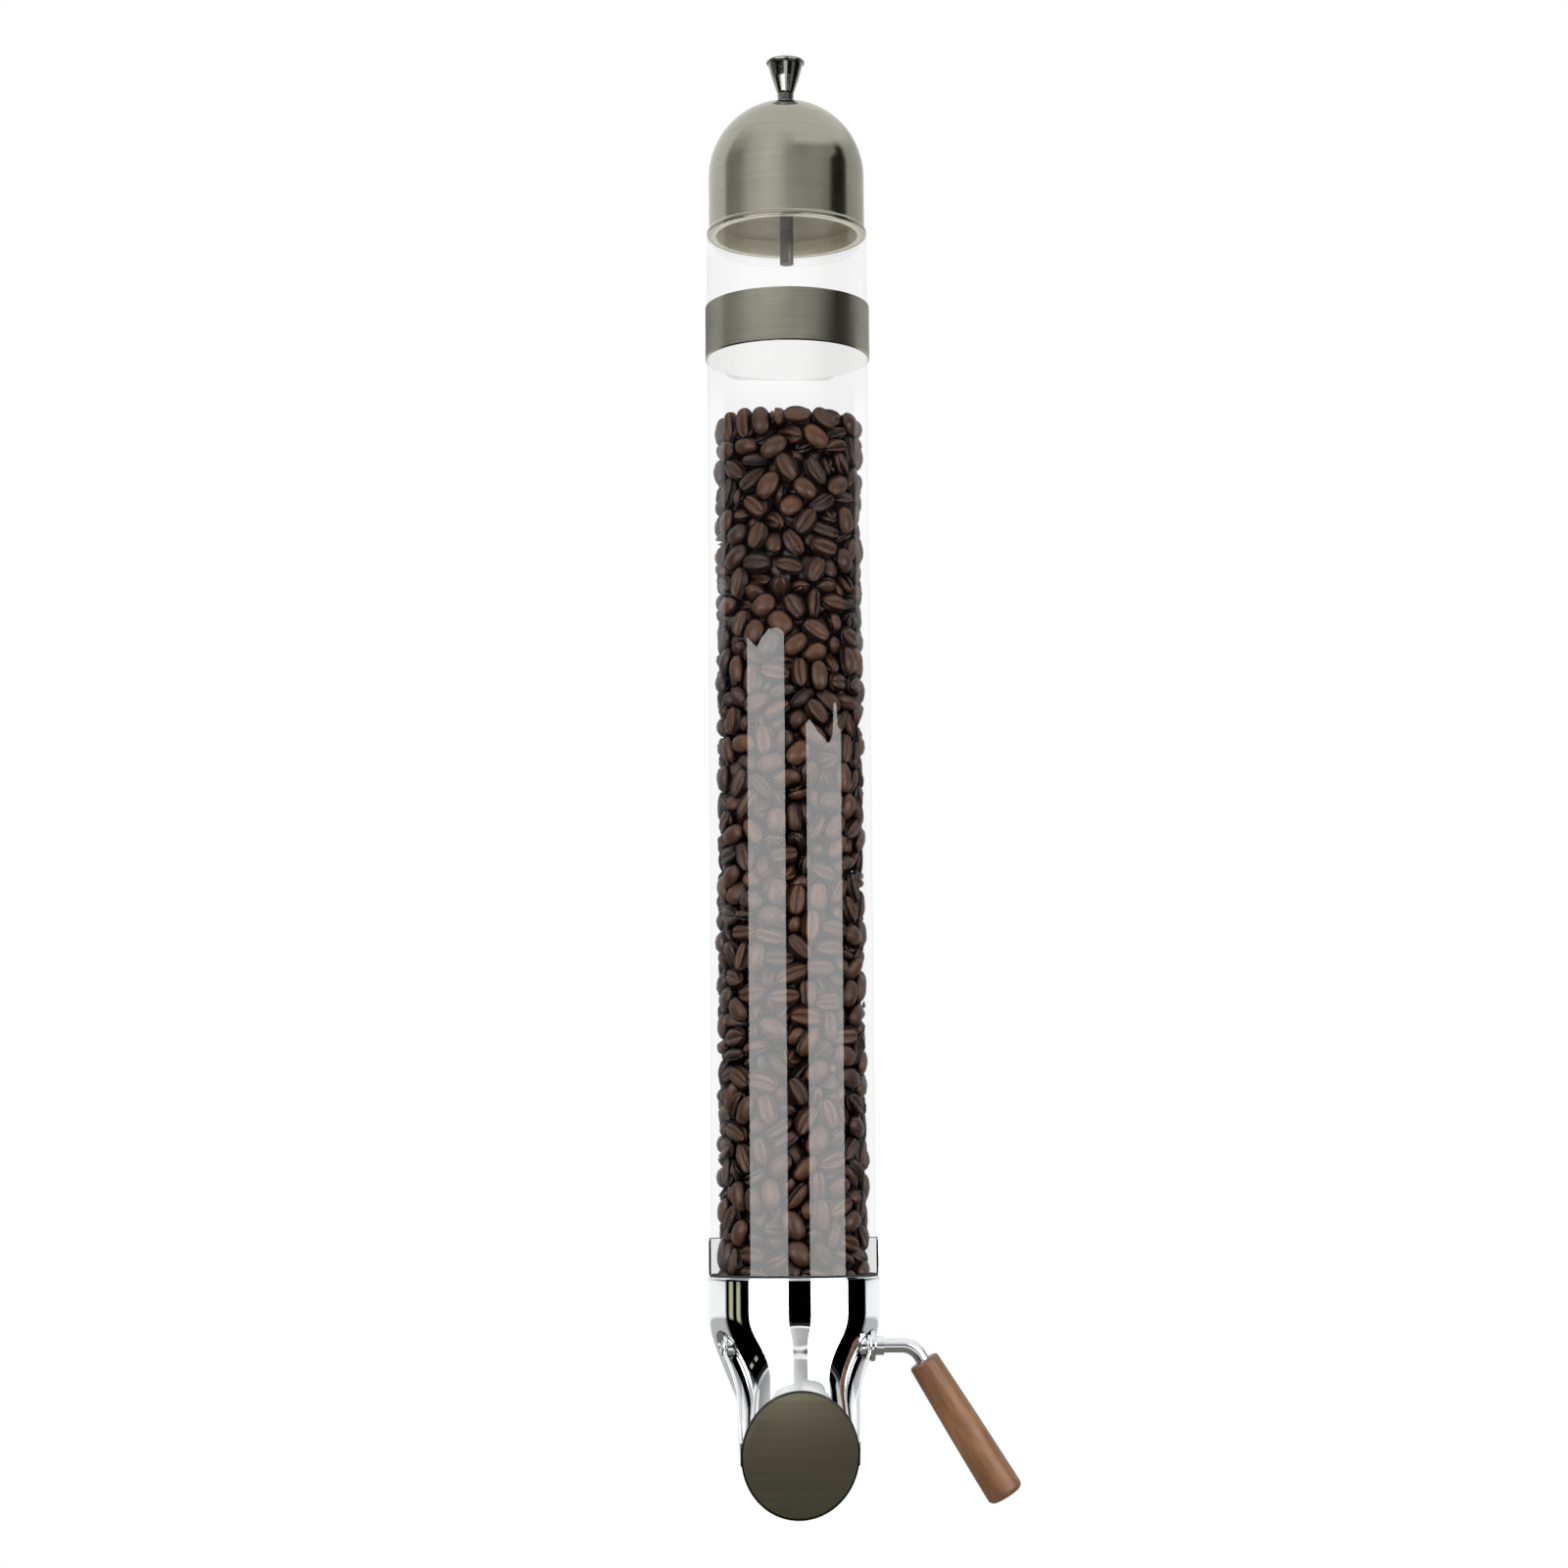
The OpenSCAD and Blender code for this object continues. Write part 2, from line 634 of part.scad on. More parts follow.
module rod_collar() {
    color("silver") at_pivot() difference() {
        union() {
            along_x(arm_out_x + fit, arm_out_x + fit + collar_t, rod_collar_r);
            translate([arm_out_x + collar_t, 0, 0]) rotate([0, 90, 0])
                cylinder(r1 = 0.75 * rod_collar_r, r2 = rod_r + 2 * fit, h = rod_cone_h, $fn = round_fn);
        }
        along_x(arm_out_x - over, arm_out_x + 2 * collar_t + over, rod_r + fit / 2);
    }
}

module arm_end_screw() {
    color("silver") at_pivot() difference() {
        union() {
            along_x(-arm_out_x - arm_t / 2, -arm_out_x, 1.2 * rod_r);
            along_x(-arm_out_x - arm_t / 4, -arm_out_x + rod_d, end_screw_r - fit / 2);
        }
        translate([-arm_out_x - arm_t, 0, 0]) rotate([0, 90, 0])
            cylinder(r = rod_r / 2, h = 3 * arm_t / 4, $fn = 6);
    }
}

module grip() {
    a = grip_top_d / 2;
    b = grip_end_d / 2;
    color("sienna") at_grip() translate([0, 0, grip_start]) difference() {
        rotate_extrude($fn = round_fn) polygon(concat([[0, 0]],
            arc(a - grip_top_round, grip_top_round, grip_top_round, -90, 0, 6),
            arc(b - grip_end_round, grip_len - grip_end_round, grip_end_round, 0, 90, 8), [[0, grip_len]]));
        translate([0, 0, -over]) cylinder(r = rod_r + fit, h = tang_len + 2 * over, $fn = round_fn);
    }
}

// Spun dome: a hemisphere on a straight side, with a bead at its rim and a hole for the stud
module lid_dome() {
    hole = stud_r + fit;
    color("darkgray") at_tube(lid_z) rotate_extrude($fn = round_fn) polygon(concat(
        [[dome_in_r, 0], [tube_r - bead_h / 4, 0], [tube_r, bead_h / 4], [tube_r, 3 * bead_h / 4],
            [dome_r, bead_h]],
        arc(0, dome_side_h, dome_r, 0, acos(hole / dome_r), 20),
        arc(0, dome_side_h, dome_in_r, acos(hole / dome_in_r), 0, 20)));
}

module lid_knob() {
    foot_r = knob_foot_d / 2;
    cap_r = knob_d / 2;
    cap_h = 0.08 * knob_h;
    groove_h = 0.03 * knob_h;
    cone_h = knob_h - cap_h - groove_h;
    color("silver") at_tube(lid_z + dome_top) difference() {
        rotate_extrude($fn = round_fn) polygon([[0, 0], [foot_r, 0], [0.9 * cap_r, cone_h],
            [0.84 * cap_r, cone_h], [0.84 * cap_r, cone_h + groove_h], [cap_r, cone_h + groove_h],
            [cap_r, knob_h - cap_h / 4], [cap_r - cap_h / 4, knob_h], [0, knob_h]]);
        translate([0, 0, -over]) cylinder(r = stud_r + fit, h = knob_h / 2 + over, $fn = round_fn);
    }
}

// Stem with a thinner stud that passes through the dome into the knob
module lid_stem() {
    stem_h = stem_drop + washer_z - fit;
    color("dimgray") at_tube(lid_z - stem_drop) union() {
        cylinder(r = stem_d / 2, h = stem_h, $fn = round_fn);
        cylinder(r = stud_r, h = stem_drop + dome_top + knob_h / 2 - over, $fn = round_fn);
    }
}

module lid_washer() {
    color("gray") at_tube(lid_z + washer_z) ring(washer_r, stud_r + fit, washer_t);
}

module lid_ring() {
    color("gray") at_tube(lid_z) ring(dome_in_r - fit, ring_in_r, lid_ring_h);
}

// Silicone plug: a flange between the dome and the glass, a skirt in the glass and a lip in the ring
module lid_plug() {
    lip_r = ring_in_r - fit;
    color("white", 0.6) at_tube(lid_z - fit) rotate_extrude($fn = round_fn) polygon([
        [plug_in_r, -plug_depth],
        [tube_in_r - clear, -plug_depth], [tube_in_r - clear, -over], [tube_r, -over], [tube_r, 0],
        [lip_r, 0], [lip_r, 0.7 * lid_ring_h], [plug_in_r, 0.7 * lid_ring_h]]);
}

glass_tube();
tube_gasket();
band_clamp();
band_liner();
clamp_bolt();
clamp_nut();
upper_wall_plate();
chute_body();
lower_wall_plate();
peg_grub_screw();
pivot_bushes();
stop_pins();
bean_column();
chute_beans();
flap();
flap_seal();
arm_left();
arm_right();
lever_rod();
rod_collar();
arm_end_screw();
grip();
lid_dome();
lid_knob();
lid_stem();
lid_washer();
lid_ring();
lid_plug();
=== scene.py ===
"""Looks of a wall-hung bean bin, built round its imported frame.

Metres, +X to the lever's side, wall at Y = 0, +Z up along the glass.
Sizes are given in millimetres times MM.
"""

import json
import math

import bmesh
import bpy
import numpy as np
from mathutils import Matrix, Vector


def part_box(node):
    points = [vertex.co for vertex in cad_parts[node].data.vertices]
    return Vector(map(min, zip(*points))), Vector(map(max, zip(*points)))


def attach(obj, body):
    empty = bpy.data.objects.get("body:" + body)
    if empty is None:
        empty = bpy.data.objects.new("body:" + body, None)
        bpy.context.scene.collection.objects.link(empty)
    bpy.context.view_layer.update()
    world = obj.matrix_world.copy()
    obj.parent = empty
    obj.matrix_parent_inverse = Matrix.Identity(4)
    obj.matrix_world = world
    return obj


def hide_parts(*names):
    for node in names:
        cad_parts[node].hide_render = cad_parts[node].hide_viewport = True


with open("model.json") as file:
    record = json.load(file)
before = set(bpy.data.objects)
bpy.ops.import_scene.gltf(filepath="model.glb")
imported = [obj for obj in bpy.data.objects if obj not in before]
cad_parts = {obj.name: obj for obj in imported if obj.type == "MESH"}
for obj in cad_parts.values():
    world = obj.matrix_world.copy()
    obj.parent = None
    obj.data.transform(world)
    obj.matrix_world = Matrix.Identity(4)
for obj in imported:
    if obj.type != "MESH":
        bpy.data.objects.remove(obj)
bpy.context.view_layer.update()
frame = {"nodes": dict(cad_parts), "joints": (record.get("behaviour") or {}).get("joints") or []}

MM = 0.001
SEED = 41

# Sizes read from the frame
tube_low, tube_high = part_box("glass_tube")
TUBE_R = (tube_high[0] - tube_low[0]) / 2
TUBE_Y = (tube_high[1] + tube_low[1]) / 2
GLASS_Z = tube_low[2]
GLASS_TOP = tube_high[2]
BEANS_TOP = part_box("bean_column")[1][2]
PIVOT = Vector(next(joint["pos_m"] for joint in frame["joints"] if joint["name"] == "gate_hinge"))
LID_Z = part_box("lid_dome")[0][2]
KNOB_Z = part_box("lid_knob")[0][2]
KNOB_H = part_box("lid_knob")[1][2] - KNOB_Z
BAND_Z, BAND_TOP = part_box("band_clamp")[0][2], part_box("band_clamp")[1][2]

# Sizes of the tube and the cast chute
TUBE_WALL = 3 * MM
TUBE_IN_R = TUBE_R - TUBE_WALL
SOCKET_R = TUBE_R + 0.55 * MM
COLLAR_R = SOCKET_R + 0.8 * MM
RIM_Z = 18 * MM
SEAT_Z = 12 * MM
SHOULDER_Z = 4 * MM
SADDLE_H = 16 * MM
MOUTH_REACH = 34 * MM
MOUTH_DROP = 70.8 * MM
MOUTH_LEAN = math.radians(20)
MOUTH_W = 2 * (COLLAR_R - 13.75 * MM)
MOUTH_H = 53.2 * MM
CHUTE_WALL = 2 * MM
PIVOT_PAD = 2.2 * MM
MOUTH_CENTRE = Vector((0, TUBE_Y - MOUTH_REACH, RIM_Z - MOUTH_DROP))
CHUTE_DROP = SHOULDER_Z - MOUTH_CENTRE.z
CHUTE_END_ANGLE = math.radians(38)
LEAD_SHARES = (0.46, 0.32)
NECK_SHARE = 0.84
PAD_SHARE = 0.25
TILT_EASE_SHARE = 0.45

# Sizes of the gate
ARM_SEAT_X = COLLAR_R - 7 * MM
ARM_T = 1.3 * MM
ARM_OUT_X = ARM_SEAT_X + ARM_T
HUB_R = 6.2 * MM
CLEAR = 0.3 * MM
BOSS_R = HUB_R - 2 * CLEAR
BOSS_X = ARM_SEAT_X - 2 * CLEAR
BOSS_LEN = 4.3 * MM
POCKET_R = HUB_R + 2 * CLEAR
ROD_R = 3 * MM
LEVER_REACH = COLLAR_R + 12.6 * MM
LEVER_ANGLE = math.radians(58.3)
BEND_R = 9 * MM
GRIP_GAP = 2.4 * MM
GRIP_LEN = 65.5 * MM
GRIP_TOP_R = 6.6 * MM
GRIP_END_R = 7.9 * MM
ROD_COLLAR_R = HUB_R + CLEAR
ROD_COLLAR_T = 2.1 * MM

# Sizes of the lid and the band
DOME_R = TUBE_R - 0.9 * MM
DOME_WALL = 0.9 * MM
DOME_SIDE_H = 26.5 * MM
BEAD_H = 2.4 * MM
KNOB_FOOT_R = 3.4 * MM
KNOB_R = 8.45 * MM
BAND_IN_R = TUBE_R + 0.3 * MM
BAND_T = 0.5 * MM
EAR_X = 3.35 * MM
EAR_T = 1.5 * MM
EAR_H = 14.5 * MM
EAR_END_Y = -5 * MM


def mix(a, b, share):
    return a + (b - a) * share


def ease(t):
    return t * t * (3 - 2 * t)


def arc(centre, radius, start, end, steps):
    """Points (radius, height) along an arc, with angles in degrees."""
    turns = [math.radians(mix(start, end, i / steps)) for i in range(steps + 1)]
    return [(centre[0] + radius * math.cos(a), centre[1] + radius * math.sin(a)) for a in turns]


# Meshes


def add_mesh(name, points, faces, sharp_degrees=35.0):
    """A new object from points and faces, smooth but for the edges sharper than the angle."""
    mesh = bpy.data.meshes.new(name)
    mesh.from_pydata([tuple(p) for p in points], [], faces)
    mesh.update()
    piece = bpy.data.objects.new(name, mesh)
    bpy.context.scene.collection.objects.link(piece)
    soften(piece, sharp_degrees)
    return piece


def soften(piece, sharp_degrees=35.0):
    for face in piece.data.polygons:
        face.use_smooth = True
    piece.data.set_sharp_from_angle(angle=math.radians(sharp_degrees))


def finish_inside(piece, material, chosen):
    """Gives the faces whose middle and normal pass a test a second material."""
    piece.data.materials.append(material)
    for face in piece.data.polygons:
        if chosen(face.center, face.normal):
            face.material_index = 1


def finish_piece(piece, material, body, slot, *nodes):
    """Gives a piece its material and body, and lets it stand for the CAD nodes named. The slot is not used.
    """
    piece.data.materials.clear()
    piece.data.materials.append(material)
    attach(piece, body)
    for node in nodes:
        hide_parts(node)
    return piece


def ring_faces(rings, count, closed_rings=True):
    """Quads between rings of count points each, the last ring joined to the first if asked."""
    faces = []
    last = rings if closed_rings else rings - 1
    for k in range(last):
        for i in range(count):
            a = k * count + i
            b = k * count + (i + 1) % count
            c = ((k + 1) % rings) * count + (i + 1) % count
            d = ((k + 1) % rings) * count + i
            faces.append((a, b, c, d))
    return faces


def held_ends(outline, hold=0.5 * MM):
    """Adds points close to both ends of long straight runs, which keeps the shading straight between."""
    result = []
    for i, point in enumerate(outline):
        following = outline[(i + 1) % len(outline)]
        result.append(point)
        gap = math.dist(point, following)
        on_axis = point[0] < 1e-6 and following[0] < 1e-6
        if gap > 8 * hold and not on_axis:
            result += [(mix(point[0], following[0], share), mix(point[1], following[1], share))
                       for share in (hold / gap, 1 - hold / gap)]
    return result


def turned(name, profile, place, steps=160, sharp_degrees=35.0, start=0.0, sweep=360.0):
    """A closed profile of (radius, height) turned round the Z axis of a frame, with poles at radius 0.

    A sweep under 360 degrees is capped at both ends.
    """
    profile = held_ends(profile)
    full = sweep >= 360.0
    count = steps if full else steps + 1
    points = []
    index = []
    for radius, height in profile:
        if radius < 1e-7:
            index.append([len(points)] * count)
            points.append(place @ Vector((0, 0, height)))
            continue
        row = []
        for i in range(count):
            turn = math.radians(start + sweep * i / steps)
            row.append(len(points))
            points.append(place @ Vector((radius * math.cos(turn), radius * math.sin(turn), height)))
        index.append(row)
    faces = []
    for k, row in enumerate(index):
        after = index[(k + 1) % len(index)]
        for i in range(steps):
            j = (i + 1) % count
            corners = [row[i], row[j], after[j], after[i]]
            corners = [c for n, c in enumerate(corners) if c not in corners[:n]]
            if len(corners) > 2:
                faces.append(corners)
    if not full:
        faces.append([row[0] for row in index])
        faces.append([row[-1] for row in index][::-1])
    return add_mesh(name, points, faces, sharp_degrees)


def at_tube(z):
    return Matrix.Translation((0, TUBE_Y, z))


def along_x(x):
    """Frame at the pivot whose Z axis runs along +X."""
    return Matrix.Translation(PIVOT + Vector((x, 0, 0))) @ Matrix.Rotation(math.radians(90), 4, "Y")


def rounded_profile(outline, radius, steps=4):
    """A closed outline of (radius, height) points with its corners rounded, where they are off the axis."""
    rounded = []
    total = len(outline)
    for k in range(total):
        before, here, after = (Vector(outline[(k + s) % total]) for s in (-1, 0, 1))
        if here.x < 1e-7 or radius <= 0:
            rounded.append(tuple(here))
            continue
        into, out = (before - here), (after - here)
        turn = math.pi - into.angle(out, 0.0)
        if turn < math.radians(20):
            rounded.append(tuple(here))
            continue
        reach = min(radius * math.tan(turn / 2), 0.45 * into.length, 0.45 * out.length)
        first, last = here + into.normalized() * reach, here + out.normalized() * reach
        for i in range(steps + 1):
            t = i / steps
            rounded.append(tuple((1 - t) ** 2 * first + 2 * t * (1 - t) * here + t * t * last))
    return rounded


def swept(name, path, radius, steps=40):
    """A round bar along a path of points, with flat ends."""
    points = []
    for k, point in enumerate(path):
        ahead = path[min(k + 1, len(path) - 1)] - path[max(k - 1, 0)]
        side = Vector((0, 1, 0))
        up = ahead.normalized().cross(side)
        for i in range(steps):
            turn = 2 * math.pi * i / steps
            points.append(point + radius * (math.cos(turn) * side + math.sin(turn) * up))
    faces = ring_faces(len(path), steps, closed_rings=False)
    faces.append(list(range(steps))[::-1])
    faces.append([(len(path) - 1) * steps + i for i in range(steps)])
    return add_mesh(name, points, faces)


def dressed(name, node, edge, sharp_degrees=35.0):
    """A copy of a CAD node's mesh with its flat faces joined and its edges broken by a small round."""
    source = frame["nodes"][node]
    piece = bpy.data.objects.new(name, source.data.copy())
    bpy.context.scene.collection.objects.link(piece)
    work = bmesh.new()
    work.from_mesh(piece.data)
    bmesh.ops.remove_doubles(work, verts=work.verts, dist=0.002 * MM)
    bmesh.ops.dissolve_limit(
        work, angle_limit=math.radians(0.6), verts=work.verts, edges=work.edges, delimit=set()
    )
    work.to_mesh(piece.data)
    work.free()
    if edge > 0:
        bevel = piece.modifiers.new("edge", "BEVEL")
        bevel.width = edge
        bevel.segments = 3
        bevel.limit_method = "ANGLE"
        bevel.angle_limit = math.radians(40)
        apply_modifiers(piece)
    soften(piece, sharp_degrees)
    return piece


def apply_modifiers(piece):
    bpy.context.view_layer.update()
    shaped = bpy.data.meshes.new_from_object(
        piece.evaluated_get(bpy.context.evaluated_depsgraph_get())
    )
    piece.modifiers.clear()
    piece.data = shaped


def cut_with(piece, tool, operation="DIFFERENCE"):
    """Cuts, or joins, a tool into a piece and removes the tool."""
    change = piece.modifiers.new("cut", "BOOLEAN")
    change.operation = operation
    change.solver = "EXACT"
    change.object = tool
    apply_modifiers(piece)
    bpy.data.objects.remove(tool)


# The cast chute


def chute_path(t):
    """The chute's middle line in the plane X = 0, from 0 at the shoulder to 1 at the mouth."""
    start = Vector((TUBE_Y, SHOULDER_Z))
    end = Vector((MOUTH_CENTRE.y, MOUTH_CENTRE.z))
    a = start - Vector((0, CHUTE_DROP * LEAD_SHARES[0]))
    b = end + CHUTE_DROP * LEAD_SHARES[1] * Vector((math.sin(CHUTE_END_ANGLE), math.cos(CHUTE_END_ANGLE)))
    return (1 - t) ** 3 * start + 3 * (1 - t) ** 2 * t * a + 3 * (1 - t) * t * t * b + t ** 3 * end


def chute_tilt(t):
    return (math.pi / 2 - MOUTH_LEAN) * mix(t, ease(t), TILT_EASE_SHARE)


def half_width(t):
    fallen = min(1, (SHOULDER_Z - chute_path(t).y) / CHUTE_DROP / NECK_SHARE)
    return mix(MOUTH_W / 2, COLLAR_R, (1 + math.cos(math.pi * fallen)) / 2)


def half_height(t):
    return mix(COLLAR_R, MOUTH_H / 2, ease(t))


def wall_at(t):
    pad = PIVOT_PAD * math.sin(math.radians(90 * min(t / PAD_SHARE, 2)))
    return mix(COLLAR_R - TUBE_IN_R, CHUTE_WALL, ease(t)) + pad


def chute_point(t, turn, inset, ahead=0.0):
    """A point on the chute's wall, inset from its skin, and ahead of the ring's own plane."""
    centre = chute_path(t)
    tilt = chute_tilt(t)
    v = (half_height(t) - inset) * math.sin(turn)
    out = Vector((-math.sin(tilt), -math.cos(tilt))) * ahead
    return Vector((
        (half_width(t) - inset) * math.cos(turn),
        centre.x - math.cos(tilt) * v + out.x,
        centre.y + math.sin(tilt) * v + out.y,
    ))


def casting_turns():
    """Angles round the casting, closer together where the saddle's sides step up."""
    step = 2 * math.pi / 200
    near = 2.4 * MM / COLLAR_R
    turns = set(round(step * i, 6) for i in range(200))
    for side in (0, math.pi):
        turns = set(t for t in turns if abs(math.remainder(t - side, 2 * math.pi)) > near)
        turns |= set(round((side + mix(-near, near, i / 24)) % (2 * math.pi), 6) for i in range(25))
    return sorted(turns)


def rim_height(turn):
    """Top of the casting: the low front rim, and the saddle behind the glass."""
    behind = -math.sin(turn) * COLLAR_R / (1.2 * MM)
    return RIM_Z + SADDLE_H * ease(min(1, max(0, behind)))


def casting_shell():
    """Socket, saddle and lofted chute as one closed skin, without its bosses."""
    turns = casting_turns()
    edge = 0.5 * MM
    lip = 0.6 * MM

    def collar(radius, height):
        return [Vector((radius * math.cos(a), TUBE_Y - radius * math.sin(a), height(a))) for a in turns]

    rings = [collar(SOCKET_R, lambda a: SEAT_Z)]
    rings.append(collar(SOCKET_R, lambda a: RIM_Z - 1.5 * MM))
    rings.append(collar(SOCKET_R, lambda a: rim_height(a) - edge))
    rings.append(collar(SOCKET_R + edge, rim_height))
    rings.append(collar(COLLAR_R - 1.4 * edge, rim_height))
    rings.append(collar(COLLAR_R - 0.4 * edge, lambda a: rim_height(a) - 0.4 * edge))
    rings.append(collar(COLLAR_R, lambda a: rim_height(a) - 1.4 * edge))
    rings.append(collar(COLLAR_R, lambda a: RIM_Z - 1.5 * MM))
    rings.append(collar(COLLAR_R, lambda a: mix(RIM_Z, SHOULDER_Z, 0.55)))
    skin_rings = 90
    for k in range(skin_rings + 1):
        t = k / skin_rings
        rings.append([chute_point(t, a, 0, -lip if k == skin_rings else 0) for a in turns])
    for k in range(1, 5):
        swing = math.radians(22.5 * k)
        rings.append([chute_point(1, a, lip * (1 - math.cos(swing)), -lip * (1 - math.sin(swing)))
                      for a in turns])
    rings.append([chute_point(1, a, CHUTE_WALL - 0.3 * lip) for a in turns])
    rings.append([chute_point(1, a, CHUTE_WALL, -0.3 * lip) for a in turns])
    bore_rings = 40
    for k in range(bore_rings, -1, -1):
        t = 0.985 * k / bore_rings
        rings.append([chute_point(t, a, wall_at(t)) for a in turns])
    rings.append(collar(TUBE_IN_R, lambda a: SEAT_Z))
    points = [p for ring in rings for p in ring]
    return add_mesh("cast_chute", points, ring_faces(len(rings), len(turns)))


def plug_tool(place, radius, length, steps=96):
    return turned("tool", [(0, 0), (radius, 0), (radius, length), (0, length)], place, steps)


def cast_chute(material, inside):
    """The casting with its pivot bosses, spot faces, pivot bore and the socket for the wall peg."""
    piece = casting_shell()
    for side in (-1, 1):
        inner = min(side * (BOSS_X - BOSS_LEN), side * BOSS_X)
        cut_with(piece, plug_tool(along_x(inner), BOSS_R, BOSS_LEN), "UNION")
        pocket = min(side * BOSS_X, side * (COLLAR_R + 3 * MM))
        cut_with(piece, plug_tool(along_x(pocket), POCKET_R, COLLAR_R + 3 * MM - BOSS_X))
    cut_with(piece, plug_tool(along_x(-COLLAR_R), ROD_R + 0.95 * MM, 2 * COLLAR_R))
    peg_low, peg_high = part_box("lower_wall_plate")
    face_y = peg_high[1] - 6 * MM
    boss = [(0, 0), (10 * MM, 0)] + [(10 * MM, 5 * MM)] + arc((13 * MM, 8.2 * MM), 3 * MM, 180, 120, 5)
    boss += [(11.5 * MM, 13 * MM), (0, 13 * MM)]
    place = Matrix.Translation((0, face_y, 0)) @ Matrix.Rotation(math.radians(90), 4, "X")
    cut_with(piece, turned("tool", rounded_profile(boss, 0.5 * MM, 3), place, 96), "UNION")
    hole = [(0, -1 * MM), (6 * MM, -1 * MM), (5.05 * MM, 0.4 * MM), (5.05 * MM, 8.8 * MM), (0, 8.8 * MM)]
    cut_with(piece, turned("tool", hole, place, 96))
    grub_y = (face_y + peg_low[1]) / 2
    cut_with(piece, plug_tool(Matrix.Translation((0, grub_y, -11 * MM)), 2.05 * MM, 10 * MM, 48))
    soften(piece, 32)
    finish_piece(piece, material, "housing", "mirror_chrome", "chute_body")

    def in_socket(middle, normal):
        reach = math.hypot(middle.x, middle.y - TUBE_Y)
        return middle.z > SEAT_Z and reach < SOCKET_R + 0.1 * MM

    # The socket's inside takes a material with a painted pale glow where it is seen through the glass
    finish_inside(piece, inside, in_socket)


# The pieces of the lid and the band


def glass(material):
    edge = 0.8 * MM
    outline = [(TUBE_IN_R, 0), (TUBE_R, 0), (TUBE_R, GLASS_TOP - GLASS_Z), (TUBE_IN_R, GLASS_TOP - GLASS_Z)]
    piece = turned("polished_glass_tube", rounded_profile(outline, edge, 5), at_tube(GLASS_Z), 192)
    return finish_piece(piece, material, "housing", "tube_glass", "glass_tube")


def dome(material, inside):
    hole = 1.55 * MM
    neck = 0.5 * MM
    inner = DOME_R - DOME_WALL
    outline = [(inner, 0.2 * MM), (inner + 0.25 * MM, 0), (TUBE_R - 0.6 * MM, 0)]
    outline += arc((TUBE_R - 0.6 * MM, 0.6 * MM), 0.6 * MM, -60, 0, 4)
    outline += arc((TUBE_R - 0.6 * MM, BEAD_H - 1.0 * MM), 0.6 * MM, 0, 70, 4)
    outline += [(DOME_R + 0.15 * MM, BEAD_H - 0.2 * MM), (DOME_R, BEAD_H + neck)]
    outline += [(DOME_R, mix(BEAD_H, DOME_SIDE_H, 0.5))]
    outline += arc((0, DOME_SIDE_H), DOME_R, 0, math.degrees(math.acos(hole / DOME_R)), 48)
    outline += arc((0, DOME_SIDE_H), inner, math.degrees(math.acos(hole / inner)), 0, 40)
    piece = turned("spun_dome", outline, at_tube(LID_Z), 192, 50)
    finish_piece(piece, material, "lid", "dome_steel", "lid_dome")

    def facing_in(middle, normal):
        out = Vector((middle.x, middle.y - TUBE_Y, max(0.0, middle.z - LID_Z - DOME_SIDE_H)))
        return out.length < DOME_R - 0.5 * DOME_WALL and normal.dot(out) < 0

    # The inside faces take a lighter copy of the nickel: painted light
    finish_inside(piece, inside, facing_in)


def knob(material):
    cap_h = 0.08 * KNOB_H
    groove_h = 0.03 * KNOB_H
    cone_h = KNOB_H - cap_h - groove_h
    crown = 0.35 * MM
    outline = [(0, 0), (KNOB_FOOT_R, 0), (KNOB_FOOT_R + 0.25 * MM, 0.25 * cone_h)]
    outline += [(mix(KNOB_FOOT_R, 0.9 * KNOB_R, 0.62), 0.66 * cone_h), (0.9 * KNOB_R, cone_h)]
    outline += [(0.84 * KNOB_R, cone_h + 0.1 * MM), (0.84 * KNOB_R, cone_h + groove_h - 0.1 * MM)]
    outline += [(KNOB_R - 0.1 * MM, cone_h + groove_h), (KNOB_R, cone_h + groove_h + 0.25 * MM)]
    outline += [(KNOB_R, KNOB_H - 0.9 * MM), (KNOB_R - 0.5 * MM, KNOB_H - crown)]
    outline += [(0.6 * KNOB_R, KNOB_H - 0.1 * MM), (0, KNOB_H)]
    piece = turned("turned_knob", rounded_profile(outline, 0.15 * MM, 3), at_tube(KNOB_Z), 96, 30)
    return finish_piece(piece, material, "lid", "knob_steel", "lid_knob")


